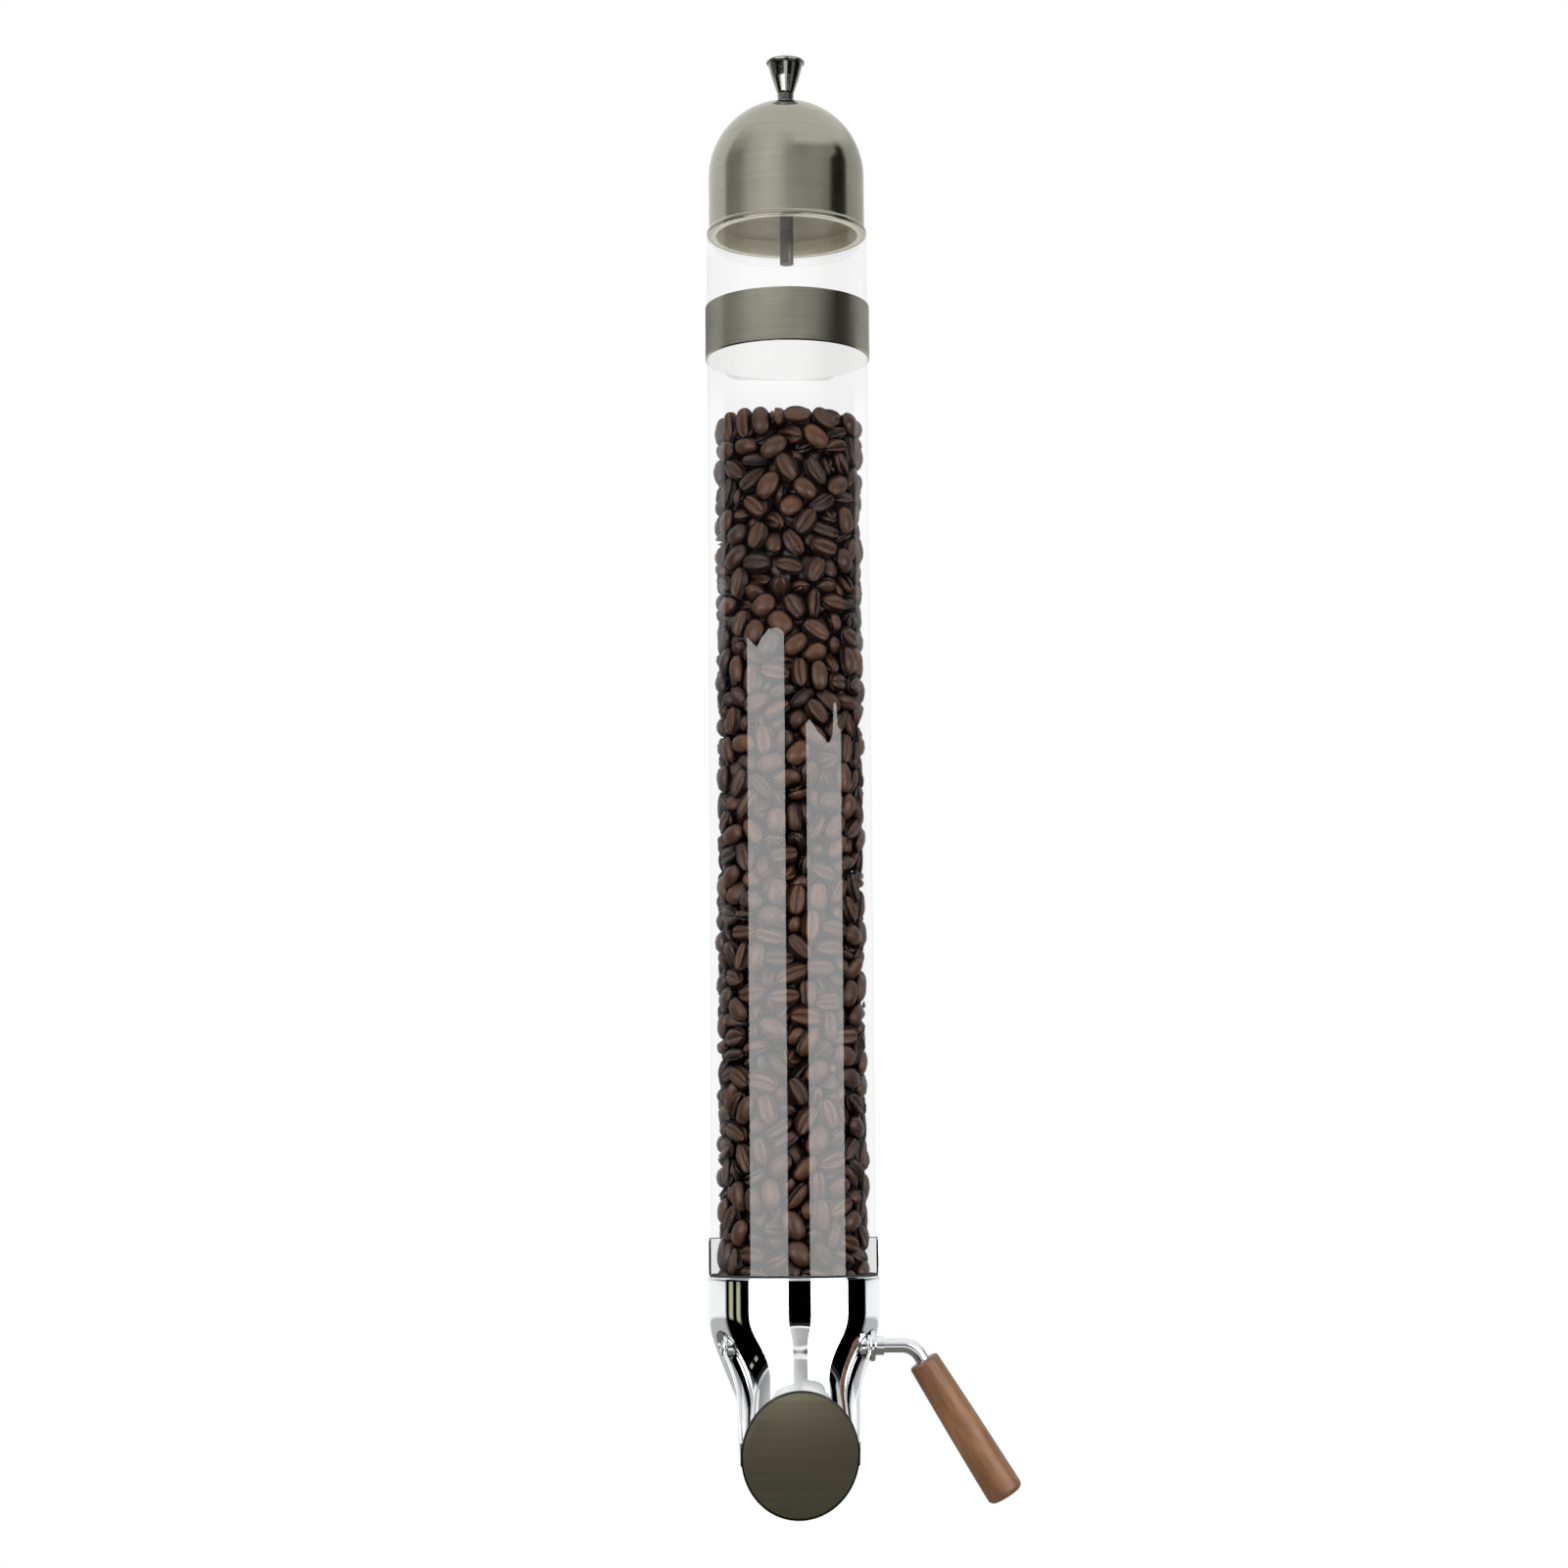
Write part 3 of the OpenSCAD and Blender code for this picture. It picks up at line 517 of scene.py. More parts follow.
def band(material, inside):
    """The band with a gap behind and two ears that close on the tongue of the wall plate."""
    height = BAND_TOP - BAND_Z
    outline = [(BAND_IN_R, 0), (BAND_IN_R + BAND_T, 0), (BAND_IN_R + BAND_T, height), (BAND_IN_R, height)]
    half_gap = math.degrees(math.asin(EAR_X / BAND_IN_R))
    piece = turned("steel_band", rounded_profile(outline, 0.2 * MM, 3), at_tube(BAND_Z), 200, 30,
                   90 + half_gap, 360 - 2 * half_gap)
    work = bmesh.new()
    work.from_mesh(piece.data)
    root_y = TUBE_Y + BAND_IN_R - 0.35 * MM
    for side in (-1, 1):
        centre = Vector((side * (EAR_X + EAR_T / 2), (root_y + EAR_END_Y) / 2, BAND_Z + height / 2))
        size = Vector((EAR_T, EAR_END_Y - root_y, EAR_H))
        made = bmesh.ops.create_cube(work, size=1, matrix=Matrix.Translation(centre)
                                     @ Matrix.Diagonal((*size, 1)))
        far = [v for v in made["verts"] if v.co.y > centre.y]
        edges = [e for e in work.edges if all(v in far for v in e.verts)
                 and abs(e.verts[0].co.z - e.verts[1].co.z) < 1e-6]
        bmesh.ops.bevel(work, geom=edges, offset=2.5 * MM, segments=5, affect="EDGES", profile=0.5)
    work.to_mesh(piece.data)
    work.free()
    soften(piece, 30)
    finish_piece(piece, material, "housing", "brushed_nickel", "band_clamp")

    def behind_glass(middle, normal):
        reach = math.hypot(middle.x, middle.y - TUBE_Y)
        return middle.y > TUBE_Y - 10 * MM and reach < BAND_IN_R + 0.7 * BAND_T and abs(middle.x) > EAR_X

    # The band's inside behind the glass takes a material with a painted pale glow where it is seen through
    # the glass
    finish_inside(piece, inside, behind_glass)


# The gate


def lever(material):
    run = BEND_R * math.tan(LEVER_ANGLE / 2)
    start = PIVOT + Vector((-ARM_OUT_X + 0.05 * MM, 0, 0))
    corner_x = LEVER_REACH - run
    path = [start, start + Vector((2 * MM, 0, 0)), PIVOT + Vector((ARM_OUT_X, 0, 0))]
    for i in range(25):
        a = LEVER_ANGLE * i / 24
        path.append(PIVOT + Vector((corner_x + BEND_R * math.sin(a), 0, -BEND_R * (1 - math.cos(a)))))
    down = Vector((math.cos(LEVER_ANGLE), 0, -math.sin(LEVER_ANGLE)))
    path.append(path[-1] + down * (GRIP_GAP + 20 * MM))
    path.append(path[-1] + down * 18 * MM)
    piece = swept("bent_lever_rod", path, ROD_R)
    return finish_piece(piece, material, "gate", "rod_chrome", "lever_rod")


def brazed_collar(material):
    foot = ROD_R - 0.4 * MM
    flare = 1.9 * MM
    outline = [(foot, 0.05 * MM), (ROD_COLLAR_R - 0.35 * MM, 0.05 * MM)]
    outline += arc((ROD_COLLAR_R - 0.35 * MM, 0.4 * MM), 0.35 * MM, -90, 0, 4)
    outline += arc((ROD_COLLAR_R - 0.5 * MM, ROD_COLLAR_T - 0.5 * MM), 0.5 * MM, 0, 80, 5)
    outline += arc((ROD_R + flare + 0.2 * MM, ROD_COLLAR_T + flare), flare, -90, -178, 8)
    outline += [(foot, ROD_COLLAR_T + flare + 0.1 * MM)]
    piece = turned("brazed_rod_collar", outline, along_x(ARM_OUT_X), 72, 40)
    return finish_piece(piece, material, "gate", "rod_chrome", "rod_collar")


def grip_frame():
    corner = PIVOT + Vector((LEVER_REACH, 0, 0))
    return Matrix.Translation(corner) @ Matrix.Rotation(math.pi / 2 + LEVER_ANGLE, 4, "Y")


def wooden_grip(material):
    start = BEND_R * math.tan(LEVER_ANGLE / 2) + GRIP_GAP
    top_round, end_round = 1.3 * MM, 2.5 * MM
    belly = 0.15 * MM
    outline = [(0, 0.7 * MM), (ROD_R - 0.2 * MM, 0.7 * MM), (ROD_R + 0.25 * MM, 0)]
    outline += arc((GRIP_TOP_R - top_round, top_round), top_round, -90, 0, 7)
    for i in range(1, 12):
        share = i / 12
        height = mix(top_round, GRIP_LEN - end_round, share)
        outline.append((mix(GRIP_TOP_R, GRIP_END_R, share) + belly * math.sin(math.pi * share), height))
    outline += arc((GRIP_END_R - end_round, GRIP_LEN - end_round), end_round, 0, 90, 9)
    outline += [(0, GRIP_LEN)]
    place = grip_frame() @ Matrix.Translation((0, 0, start))
    piece = turned("wooden_grip", outline, place, 96, 50)
    return finish_piece(piece, material, "gate", "grip_wood", "grip")


# Roasted beans

BEAN_LENGTH = 12.6 * MM
BEAN_WIDTH = 9.1 * MM
BEAN_THICK = 6.4 * MM
BALL_R = 3.0
BALLS = np.array([
    [-3.3, -1.35, 0], [-3.3, 1.35, 0], [0, -1.55, 0], [0, 1.55, 0], [3.3, -1.35, 0], [3.3, 1.35, 0],
])


def rotation_matrices(q):
    w, x, y, z = q.T
    return np.stack([
        np.stack([1 - 2 * (y * y + z * z), 2 * (x * y - w * z), 2 * (x * z + w * y)], -1),
        np.stack([2 * (x * y + w * z), 1 - 2 * (x * x + z * z), 2 * (y * z - w * x)], -1),
        np.stack([2 * (x * z - w * y), 2 * (y * z + w * x), 1 - 2 * (x * x + y * y)], -1),
    ], -2)


def near_pairs(balls, owner, reach):
    """Pairs of balls of different beans that lie within reach, found through a grid of cells."""
    cell = np.floor((balls - balls.min(0)) / reach).astype(np.int64) + 1
    size = cell.max(0) + 2
    key = (cell[:, 0] * size[1] + cell[:, 1]) * size[2] + cell[:, 2]
    order = np.argsort(key, kind="stable")
    ranked = key[order]
    firsts, seconds = [], []
    for dx, dy, dz in np.ndindex(3, 3, 3):
        step = ((dx - 1) * size[1] + (dy - 1)) * size[2] + (dz - 1)
        if step < 0:
            continue
        low = np.searchsorted(ranked, key + step, "left")
        high = np.searchsorted(ranked, key + step, "right")
        found = high - low
        first = np.repeat(np.arange(len(key)), found)
        offset = np.arange(found.sum()) - np.repeat(np.cumsum(found) - found, found)
        second = order[np.repeat(low, found) + offset]
        keep = owner[first] != owner[second]
        if step == 0:
            keep &= first < second
        first, second = first[keep], second[keep]
        close = ((balls[first] - balls[second]) ** 2).sum(1) < reach * reach
        firsts.append(first[close])
        seconds.append(second[close])
    return np.concatenate(firsts), np.concatenate(seconds)


def settle(places, turns, walls, rounds):
    """Pushes beans apart, and inside the walls, until they lie against each other."""
    count = len(places)
    owner = np.repeat(np.arange(count), len(BALLS))
    pairs = None
    for step in range(rounds):
        spun = rotation_matrices(turns)
        arms = np.einsum("nij,kj->nki", spun, BALLS)
        balls = (places[:, None, :] + arms).reshape(-1, 3)
        arms = arms.reshape(-1, 3)
        if step % 8 == 0:
            pairs = near_pairs(balls, owner, 2 * BALL_R + 1.6)
        first, second = pairs
        gap = balls[second] - balls[first]
        far = np.sqrt((gap ** 2).sum(1)) + 1e-9
        hit = far < 2 * BALL_R
        first, second, gap, far = first[hit], second[hit], gap[hit], far[hit]
        push = 0.5 * (2 * BALL_R - far)[:, None] * gap / far[:, None]
        wall_push = walls(balls)
        held = np.abs(wall_push).sum(1) > 0
        index = np.concatenate([first, second, np.nonzero(held)[0]])
        moves = np.concatenate([-push, push, wall_push[held]])
        spins = np.cross(arms[index], moves)
        number = np.bincount(owner[index], minlength=count)
        share = 1.35 / np.maximum(number, 1)
        for axis in range(3):
            places[:, axis] += np.bincount(owner[index], moves[:, axis], count) * share
        turn = np.stack([np.bincount(owner[index], spins[:, axis], count) for axis in range(3)], 1)
        turn *= (share / 14.0)[:, None]
        w, v = turns[:, :1], turns[:, 1:]
        turns = turns + 0.5 * np.concatenate(
            [-(turn * v).sum(1, keepdims=True), w * turn + np.cross(turn, v)], 1)
        turns /= np.linalg.norm(turns, axis=1, keepdims=True)
    return places, turns


def facing_turns(normals, spin):
    """Quaternions that turn a bean's flat side's normal to the given one, spun about it."""
    helper = np.where(np.abs(normals[:, 2:]) < 0.8, [[0, 0, 1.0]], [[1.0, 0, 0]])
    x_axis = np.cross(helper, normals)
    x_axis /= np.linalg.norm(x_axis, axis=1, keepdims=True)
    y_axis = np.cross(normals, x_axis)
    x_turned = x_axis * np.cos(spin)[:, None] + y_axis * np.sin(spin)[:, None]
    y_turned = np.cross(normals, x_turned)
    quats = []
    for x, y, z in zip(x_turned, y_turned, normals):
        quats.append(tuple(Matrix((x, y, z)).transposed().to_quaternion()))
    return np.array(quats)


def bean_grid(rings, over, under):
    """A bean's unit shape: along, across and thickness shares, and how far a point lies in the crease."""
    rows = []
    for k in range(1, rings):
        turn = math.pi * k / rings
        along, girth = -math.cos(turn), math.sin(turn) ** 0.85
        for i in range(over + 1):
            a = math.pi * i / over
            rows.append((along, girth * math.cos(a), girth * math.sin(a), 0.0, 0.0))
        for f in under:
            crease = math.exp(-(f / 0.13) ** 2) * math.sin(turn) ** 0.5
            lips = math.exp(-((abs(f) - 0.36) / 0.16) ** 2) * math.sin(turn)
            rows.append((along, -girth * math.cos(math.acos(f)), -girth * math.sqrt(1 - f * f), crease, lips))
    count = over + 1 + len(under)
    faces = ring_faces(rings - 1, count, closed_rings=False)
    total = (rings - 1) * count
    faces += [(total, (i + 1) % count, i) for i in range(count)]
    last = (rings - 2) * count
    faces += [(total + 1, last + i, last + (i + 1) % count) for i in range(count)]
    rows.append((-1.0, 0, 0, 0, 0))
    rows.append((1.0, 0, 0, 0, 0))
    return np.array(rows), faces


def bean_meshes(name, places, turns, grid, seed):
    """All the beans of a group as one mesh, each a little different in size, bend and roast."""
    shape, faces = grid
    rng = np.random.default_rng(seed)
    count = len(places)
    along, across, thick, crease, lips = shape.T
    size = rng.normal(1.0, 0.055, (count, 3)).clip(0.86, 1.13)
    bend = rng.normal(0, 0.25, count)
    wave = rng.choice([-1, 1], count) * rng.uniform(0.15, 0.75, count)
    depth = rng.uniform(0.9, 1.7, count)
    x = BEAN_LENGTH / MM / 2 * along[None] * size[:, :1]
    y = BEAN_WIDTH / MM / 2 * across[None] * size[:, 1:2]
    y = y + (wave[:, None] * np.sin(1.6 * along[None]) * 0.6) * (crease + 0.6 * lips)[None]
    y = y + bend[:, None] * along[None] ** 2
    top, bottom = 0.56 * BEAN_THICK / MM, 0.36 * BEAN_THICK / MM
    z = np.where(thick > 0, top * thick, bottom * np.sign(thick) * np.abs(thick) ** 0.6)[None] * size[:, 2:]
    z = z + depth[:, None] * crease[None] - 0.35 * lips[None]
    lumps = rng.normal(0, 0.09, (count, len(along)))
    z = z + lumps * (1 - crease)[None]
    local = np.stack([x, y, z], -1)
    points = np.einsum("nij,nkj->nki", rotation_matrices(turns), local) + places[:, None, :]
    points = points.reshape(-1, 3) * MM
    points[:, 1] += TUBE_Y
    stride = len(along)
    quads = [tuple(n * stride + c for c in face) for n in range(count) for face in faces]
    mesh = bpy.data.meshes.new(name)
    mesh.from_pydata(points.tolist(), [], quads)
    for face in mesh.polygons:
        face.use_smooth = True
    tone = rng.normal(0.5, 0.2, count).clip(0, 1)
    hue = rng.uniform(0, 1, count)
    for title, values in (("tone", np.repeat(tone, stride)), ("hue", np.repeat(hue, stride)),
                          ("crease", np.tile(crease, count))):
        layer = mesh.attributes.new(title, "FLOAT", "POINT")
        layer.data.foreach_set("value", values.astype(np.float32))
    piece = bpy.data.objects.new(name, mesh)
    bpy.context.scene.collection.objects.link(piece)
    return piece


def tube_beans(material):
    """Beans two to three deep behind the glass, and a full heap at the top."""
    rng = np.random.default_rng(SEED)
    radius = TUBE_IN_R / MM - 0.15
    hollow = 13.0
    low, high = -3.0, BEANS_TOP / MM
    heap = 26.0
    volume = math.pi * ((radius ** 2 - hollow ** 2) * (high - low - heap) + radius ** 2 * heap)
    count = int(0.6 * volume / 352)
    in_heap = rng.uniform(size=count) < math.pi * radius ** 2 * heap / volume
    z = np.where(in_heap, rng.uniform(high - heap, high, count), rng.uniform(low, high - heap, count))
    inner = np.where(in_heap, 0.0, hollow)
    r = np.sqrt(rng.uniform(inner ** 2, radius ** 2))
    a = rng.uniform(0, 2 * math.pi, count)
    places = np.stack([r * np.cos(a), r * np.sin(a), z], 1)
    normals = np.stack([np.cos(a), np.sin(a), np.zeros(count)], 1) * rng.choice([-1, 1], count)[:, None]
    normals += rng.normal(0, 0.45, (count, 3))
    normals /= np.linalg.norm(normals, axis=1, keepdims=True)
    turns = facing_turns(normals, rng.uniform(0, 2 * math.pi, count))

    def walls(balls):
        reach = np.hypot(balls[:, 0], balls[:, 1]) + 1e-9
        over = np.maximum(0, reach - (radius - BALL_R))
        core = np.where(balls[:, 2] < high - heap, np.maximum(0, hollow - reach), 0)
        push = np.zeros_like(balls)
        push[:, :2] = balls[:, :2] / reach[:, None] * (core - over)[:, None]
        push[:, 2] = np.maximum(0, low + BALL_R - balls[:, 2])
        push[:, 2] -= np.maximum(0, balls[:, 2] - (high - BALL_R))
        return push

    places, turns = settle(places, turns, walls, 190)
    reach = np.hypot(places[:, 0], places[:, 1])
    near = (reach > 20.5) | (places[:, 2] > high - heap)
    fine = bean_grid(11, 6, (-0.8, -0.45, -0.2, -0.08, 0.08, 0.2, 0.45, 0.8))
    plain = bean_grid(6, 4, (-0.5, 0.0, 0.5))
    levels = (low - 20, 90.0, 185.0, 280.0, high + 20)
    for k, title in enumerate(("lowest", "lower", "upper", "top")):
        chosen = near & (places[:, 2] >= levels[k]) & (places[:, 2] < levels[k + 1])
        piece = bean_meshes("beans_" + title, places[chosen], turns[chosen], fine, SEED + k)
        finish_piece(piece, material, "housing", "roasted_beans", "bean_column")
    piece = bean_meshes("beans_behind", places[~near], turns[~near], plain, SEED + 9)
    finish_piece(piece, material, "housing", "roasted_beans", "bean_column")


def mouth_beans(material):
    """Beans that lie on the slope behind the flap."""
    rng = np.random.default_rng(SEED + 20)
    wide, tall = 19.2, 21.0
    front, back = -13.5, -27.0
    shear = -0.624
    count = int(0.6 * math.pi * wide * tall * (front - back) / 352)
    a = rng.uniform(0, 2 * math.pi, count)
    r = np.sqrt(rng.uniform(0, 0.8, count))
    depth = rng.uniform(back, front, count)
    local = np.stack([wide * r * np.cos(a), tall * r * np.sin(a) + shear * depth, depth], 1)
    turns = rng.normal(size=(count, 4))
    turns /= np.linalg.norm(turns, axis=1, keepdims=True)

    def walls(balls):
        push = np.zeros_like(balls)
        x, v = balls[:, 0], balls[:, 1] - shear * balls[:, 2]
        out = np.sqrt((x / (wide - BALL_R)) ** 2 + (v / (tall - BALL_R)) ** 2) + 1e-9
        back_in = np.maximum(0, 1 - 1 / out)
        push[:, 0] = -x * back_in
        push[:, 1] = -v * back_in
        push[:, 2] = np.maximum(0, back + BALL_R - balls[:, 2]) - np.maximum(0, balls[:, 2] + BALL_R - front)
        return push

    local, turns = settle(local, turns, walls, 150)
    place = Matrix.Rotation(math.pi / 2 + MOUTH_LEAN, 4, "X")
    spin = np.array(place.to_3x3())
    places = local @ spin.T + np.array(MOUTH_CENTRE) / MM - np.array([0, TUBE_Y / MM, 0])
    base = np.array(place.to_quaternion())
    w, v = base[0], base[1:]
    turned_w = w * turns[:, :1] - (turns[:, 1:] @ v)[:, None]
    turned_v = (w * turns[:, 1:] + turns[:, :1] * v
                + np.cross(np.broadcast_to(v, turns[:, 1:].shape), turns[:, 1:]))
    turns = np.concatenate([turned_w, turned_v], 1)
    fine = bean_grid(11, 6, (-0.8, -0.45, -0.2, -0.08, 0.08, 0.2, 0.45, 0.8))
    piece = bean_meshes("beans_in_chute", places, turns, fine, SEED + 21)
    finish_piece(piece, material, "housing", "roasted_beans", "chute_beans")


# Materials


def put(tree, kind, values=None, **settings):
    """Adds a node, sets its properties, and fills its inputs with constants or links."""
    made = tree.nodes.new(kind)
    for key, value in settings.items():
        setattr(made, key, value)
    for key, value in (values or {}).items():
        if isinstance(value, bpy.types.NodeSocket):
            tree.links.new(value, made.inputs[key])
        else:
            made.inputs[key].default_value = value
    return made


def maths(tree, operation, *values, clamp=False):
    return put(tree, "ShaderNodeMath", dict(enumerate(values)), operation=operation,
               use_clamp=clamp).outputs[0]


def span(tree, value, from_low, from_high, to_low, to_high):
    """Maps a value linearly from one range to another, held at the ends."""
    return put(tree, "ShaderNodeMapRange", {
        "Value": value, "From Min": from_low, "From Max": from_high, "To Min": to_low, "To Max": to_high,
    }).outputs["Result"]


def blend(tree, share, a, b, kind="MIX"):
    made = put(tree, "ShaderNodeMix", data_type="RGBA", blend_type=kind)
    for socket, value in ((made.inputs[0], share), (made.inputs[6], a), (made.inputs[7], b)):
        if isinstance(value, bpy.types.NodeSocket):
            tree.links.new(value, socket)
        else:
            socket.default_value = value
    return made.outputs[2]


def new_group(name, inputs, outputs):
    """A shader node group with named sockets, given as (name, kind, default)."""
    tree = bpy.data.node_groups.new(name, "ShaderNodeTree")
    for title, kind, default in inputs:
        socket = tree.interface.new_socket(title, in_out="INPUT", socket_type=kind)
        if default is not None:
            socket.default_value = default
    for title, kind in outputs:
        tree.interface.new_socket(title, in_out="OUTPUT", socket_type=kind)
    entry = tree.nodes.new("NodeGroupInput").outputs
    exit_node = tree.nodes.new("NodeGroupOutput")
    return tree, entry, exit_node


def use_group(tree, group, values):
    made = tree.nodes.new("ShaderNodeGroup")
    made.node_tree = group
    for key, value in values.items():
        if isinstance(value, bpy.types.NodeSocket):
            tree.links.new(value, made.inputs[key])
        else:
            made.inputs[key].default_value = value
    return made.outputs


def brush_marks_group():
    """Fine parallel scratches of a brushed finish, along the X axis of the vector."""
    tree, entry, leave = new_group(
        "Brush marks",
        [("Vector", "NodeSocketVector", None), ("Lines per mm", "NodeSocketFloat", 6.0),
         ("Length in mm", "NodeSocketFloat", 12.0)],
        [("Marks", "NodeSocketFloat"), ("Streaks", "NodeSocketFloat")],
    )
    parts = put(tree, "ShaderNodeSeparateXYZ", {0: entry["Vector"]}).outputs
    run = maths(tree, "DIVIDE", maths(tree, "MULTIPLY", parts[0], 1000.0), entry["Length in mm"])
    dense = maths(tree, "MULTIPLY", entry["Lines per mm"], 1000.0)
    over = [maths(tree, "MULTIPLY", parts[k], dense) for k in (1, 2)]
    fine = put(tree, "ShaderNodeCombineXYZ", {0: run, 1: over[0], 2: over[1]}).outputs[0]
    marks = put(tree, "ShaderNodeTexNoise", {"Vector": fine, "Scale": 1.0, "Detail": 3.0, "Roughness": 0.6})
    slow_run = maths(tree, "MULTIPLY", run, 0.35)
    slow = [maths(tree, "MULTIPLY", v, 0.12) for v in over]
    wide = put(tree, "ShaderNodeCombineXYZ", {0: slow_run, 1: slow[0], 2: slow[1]}).outputs[0]
    streaks = put(tree, "ShaderNodeTexNoise", {"Vector": wide, "Scale": 1.0, "Detail": 2.0})
    tree.links.new(marks.outputs[0], leave.inputs["Marks"])
    tree.links.new(streaks.outputs[0], leave.inputs["Streaks"])
    return tree


def handling_group():
    """Faint smears and dust left by handling."""
    tree, entry, leave = new_group(
        "Handling smears",
        [("Vector", "NodeSocketVector", None), ("Size in mm", "NodeSocketFloat", 20.0)],
        [("Smears", "NodeSocketFloat"), ("Specks", "NodeSocketFloat")],
    )
    scale = maths(tree, "DIVIDE", 1000.0, entry["Size in mm"])
    smears = put(tree, "ShaderNodeTexNoise", {
        "Vector": entry["Vector"], "Scale": scale, "Detail": 5.0, "Roughness": 0.55, "Distortion": 0.6})
    soft = span(tree, smears.outputs[0], 0.42, 0.72, 0.0, 1.0)
    specks = put(tree, "ShaderNodeTexNoise", {
        "Vector": entry["Vector"], "Scale": maths(tree, "MULTIPLY", scale, 28.0), "Detail": 2.0})
    dots = span(tree, specks.outputs[0], 0.68, 0.8, 0.0, 1.0)
    tree.links.new(soft, leave.inputs["Smears"])
    tree.links.new(dots, leave.inputs["Specks"])
    return tree


BRUSH_MARKS = brush_marks_group()
HANDLING = handling_group()


def new_material(name):
    material = bpy.data.materials.new(name)
    material.use_nodes = True
    tree = material.node_tree
    tree.nodes.clear()
    surface = put(tree, "ShaderNodeBsdfPrincipled")
    leave = put(tree, "ShaderNodeOutputMaterial", {"Surface": surface.outputs[0]})
    place = put(tree, "ShaderNodeTexCoord").outputs["Object"]
    return material, tree, surface, leave, place


def bump(tree, surface, height, depth_mm, strength=1.0):
    made = put(tree, "ShaderNodeBump", {"Strength": strength, "Distance": depth_mm * MM, "Height": height})
    tree.links.new(made.outputs[0], surface.inputs["Normal"])


def round_vector(tree, place, axis_y):
    """Arc length round an upright axis, then height and distance from it, for marks that run round."""
    parts = put(tree, "ShaderNodeSeparateXYZ", {0: place}).outputs
    across = maths(tree, "SUBTRACT", parts[1], axis_y)
    reach = maths(tree, "SQRT", maths(tree, "ADD", maths(tree, "POWER", parts[0], 2.0),
                                      maths(tree, "POWER", across, 2.0)))
    turn = maths(tree, "ARCTAN2", across, parts[0])
    run = maths(tree, "MULTIPLY", turn, TUBE_R)
    vector = put(tree, "ShaderNodeCombineXYZ", {0: run, 1: parts[2], 2: reach}).outputs[0]
    tangent = put(tree, "ShaderNodeCombineXYZ", {
        0: maths(tree, "MULTIPLY", across, -1.0), 1: parts[0], 2: 0.0}).outputs[0]
    return vector, tangent


def brushed_metal(name, colour, roughness, lines=5.0, length=14.0, grain=0.16, anisotropy=0.0,
                  round_axis=False, depth=0.004, tint=None, metallic=1.0, through=None, painted_light_by_height=None):
    """Brushed metal, with its marks round the tube's axis or straight along one direction."""
    material, tree, surface, leave, place = new_material(name)
    if round_axis:
        vector, tangent = round_vector(tree, place, TUBE_Y)
        tree.links.new(tangent, surface.inputs["Tangent"])
    else:
        vector = place
    marks = use_group(tree, BRUSH_MARKS, {"Vector": vector, "Lines per mm": lines, "Length in mm": length})
    smears = use_group(tree, HANDLING, {"Vector": place, "Size in mm": 24.0})
    dark = tuple(c * (1 - grain) for c in colour) + (1,)
    light = tuple(min(1, c * (1 + grain)) for c in colour) + (1,)
    shade = blend(tree, span(tree, marks["Streaks"], 0.3, 0.7, 0.0, 1.0), dark, light)
    shade = blend(tree, span(tree, marks["Marks"], 0.3, 0.75, 0.0, 0.35), shade, light)
    # Painted light: the colour is made lighter above a given height, as if more light fell there
    if painted_light_by_height:
        height = put(tree, "ShaderNodeSeparateXYZ", {0: place}).outputs[2]
        lit = blend(tree, 1.0, shade, (*painted_light_by_height[2], 1), "MULTIPLY")
        shade = blend(tree, span(tree, height, painted_light_by_height[0] * MM, painted_light_by_height[1] * MM, 0.0, 1.0), shade, lit)
    if tint:
        shade = blend(tree, maths(tree, "MULTIPLY", smears["Smears"], 0.6), shade, (*tint, 1))
    tree.links.new(shade, surface.inputs["Base Color"])
    rough = maths(tree, "ADD", span(tree, marks["Marks"], 0.25, 0.75, roughness * 0.75, roughness * 1.25),
                  maths(tree, "MULTIPLY", smears["Smears"], 0.04))
    tree.links.new(rough, surface.inputs["Roughness"])
    surface.inputs["Metallic"].default_value = metallic
    surface.inputs["Anisotropic"].default_value = anisotropy
    bump(tree, surface, marks["Marks"], depth)
    # Painted light: a pale glow where the surface is seen through the glass
    if through:
        painted_glow_through_glass(tree, leave, surface, through)
    return material


def painted_rim_shade(material, piece):
    """A painted dark line of shade close inside a round plate's edge."""
    low, high = (Vector(op(v.co[k] for v in piece.data.vertices) for k in range(3)) for op in (min, max))
    middle, half = (low + high) / 2, (high - low) / 2
    tree = material.node_tree
    surface = next(node for node in tree.nodes if node.type == "BSDF_PRINCIPLED")
    plain = surface.inputs["Base Color"].links[0].from_socket
    place = put(tree, "ShaderNodeTexCoord").outputs["Object"]
    parts = put(tree, "ShaderNodeSeparateXYZ", {0: place}).outputs
    shares = [maths(tree, "DIVIDE", maths(tree, "SUBTRACT", parts[k], middle[k]), half[k]) for k in (0, 2)]
    reach = maths(tree, "SQRT", maths(tree, "ADD", maths(tree, "POWER", shares[0], 2.0),
                                      maths(tree, "POWER", shares[1], 2.0)))
    # Painted shade: a near-black ring just inside the edge
    shade = blend(tree, span(tree, reach, 0.955, 0.975, 0.0, 1.0), plain, (0.018, 0.018, 0.016, 1))
    tree.links.new(shade, surface.inputs["Base Color"])


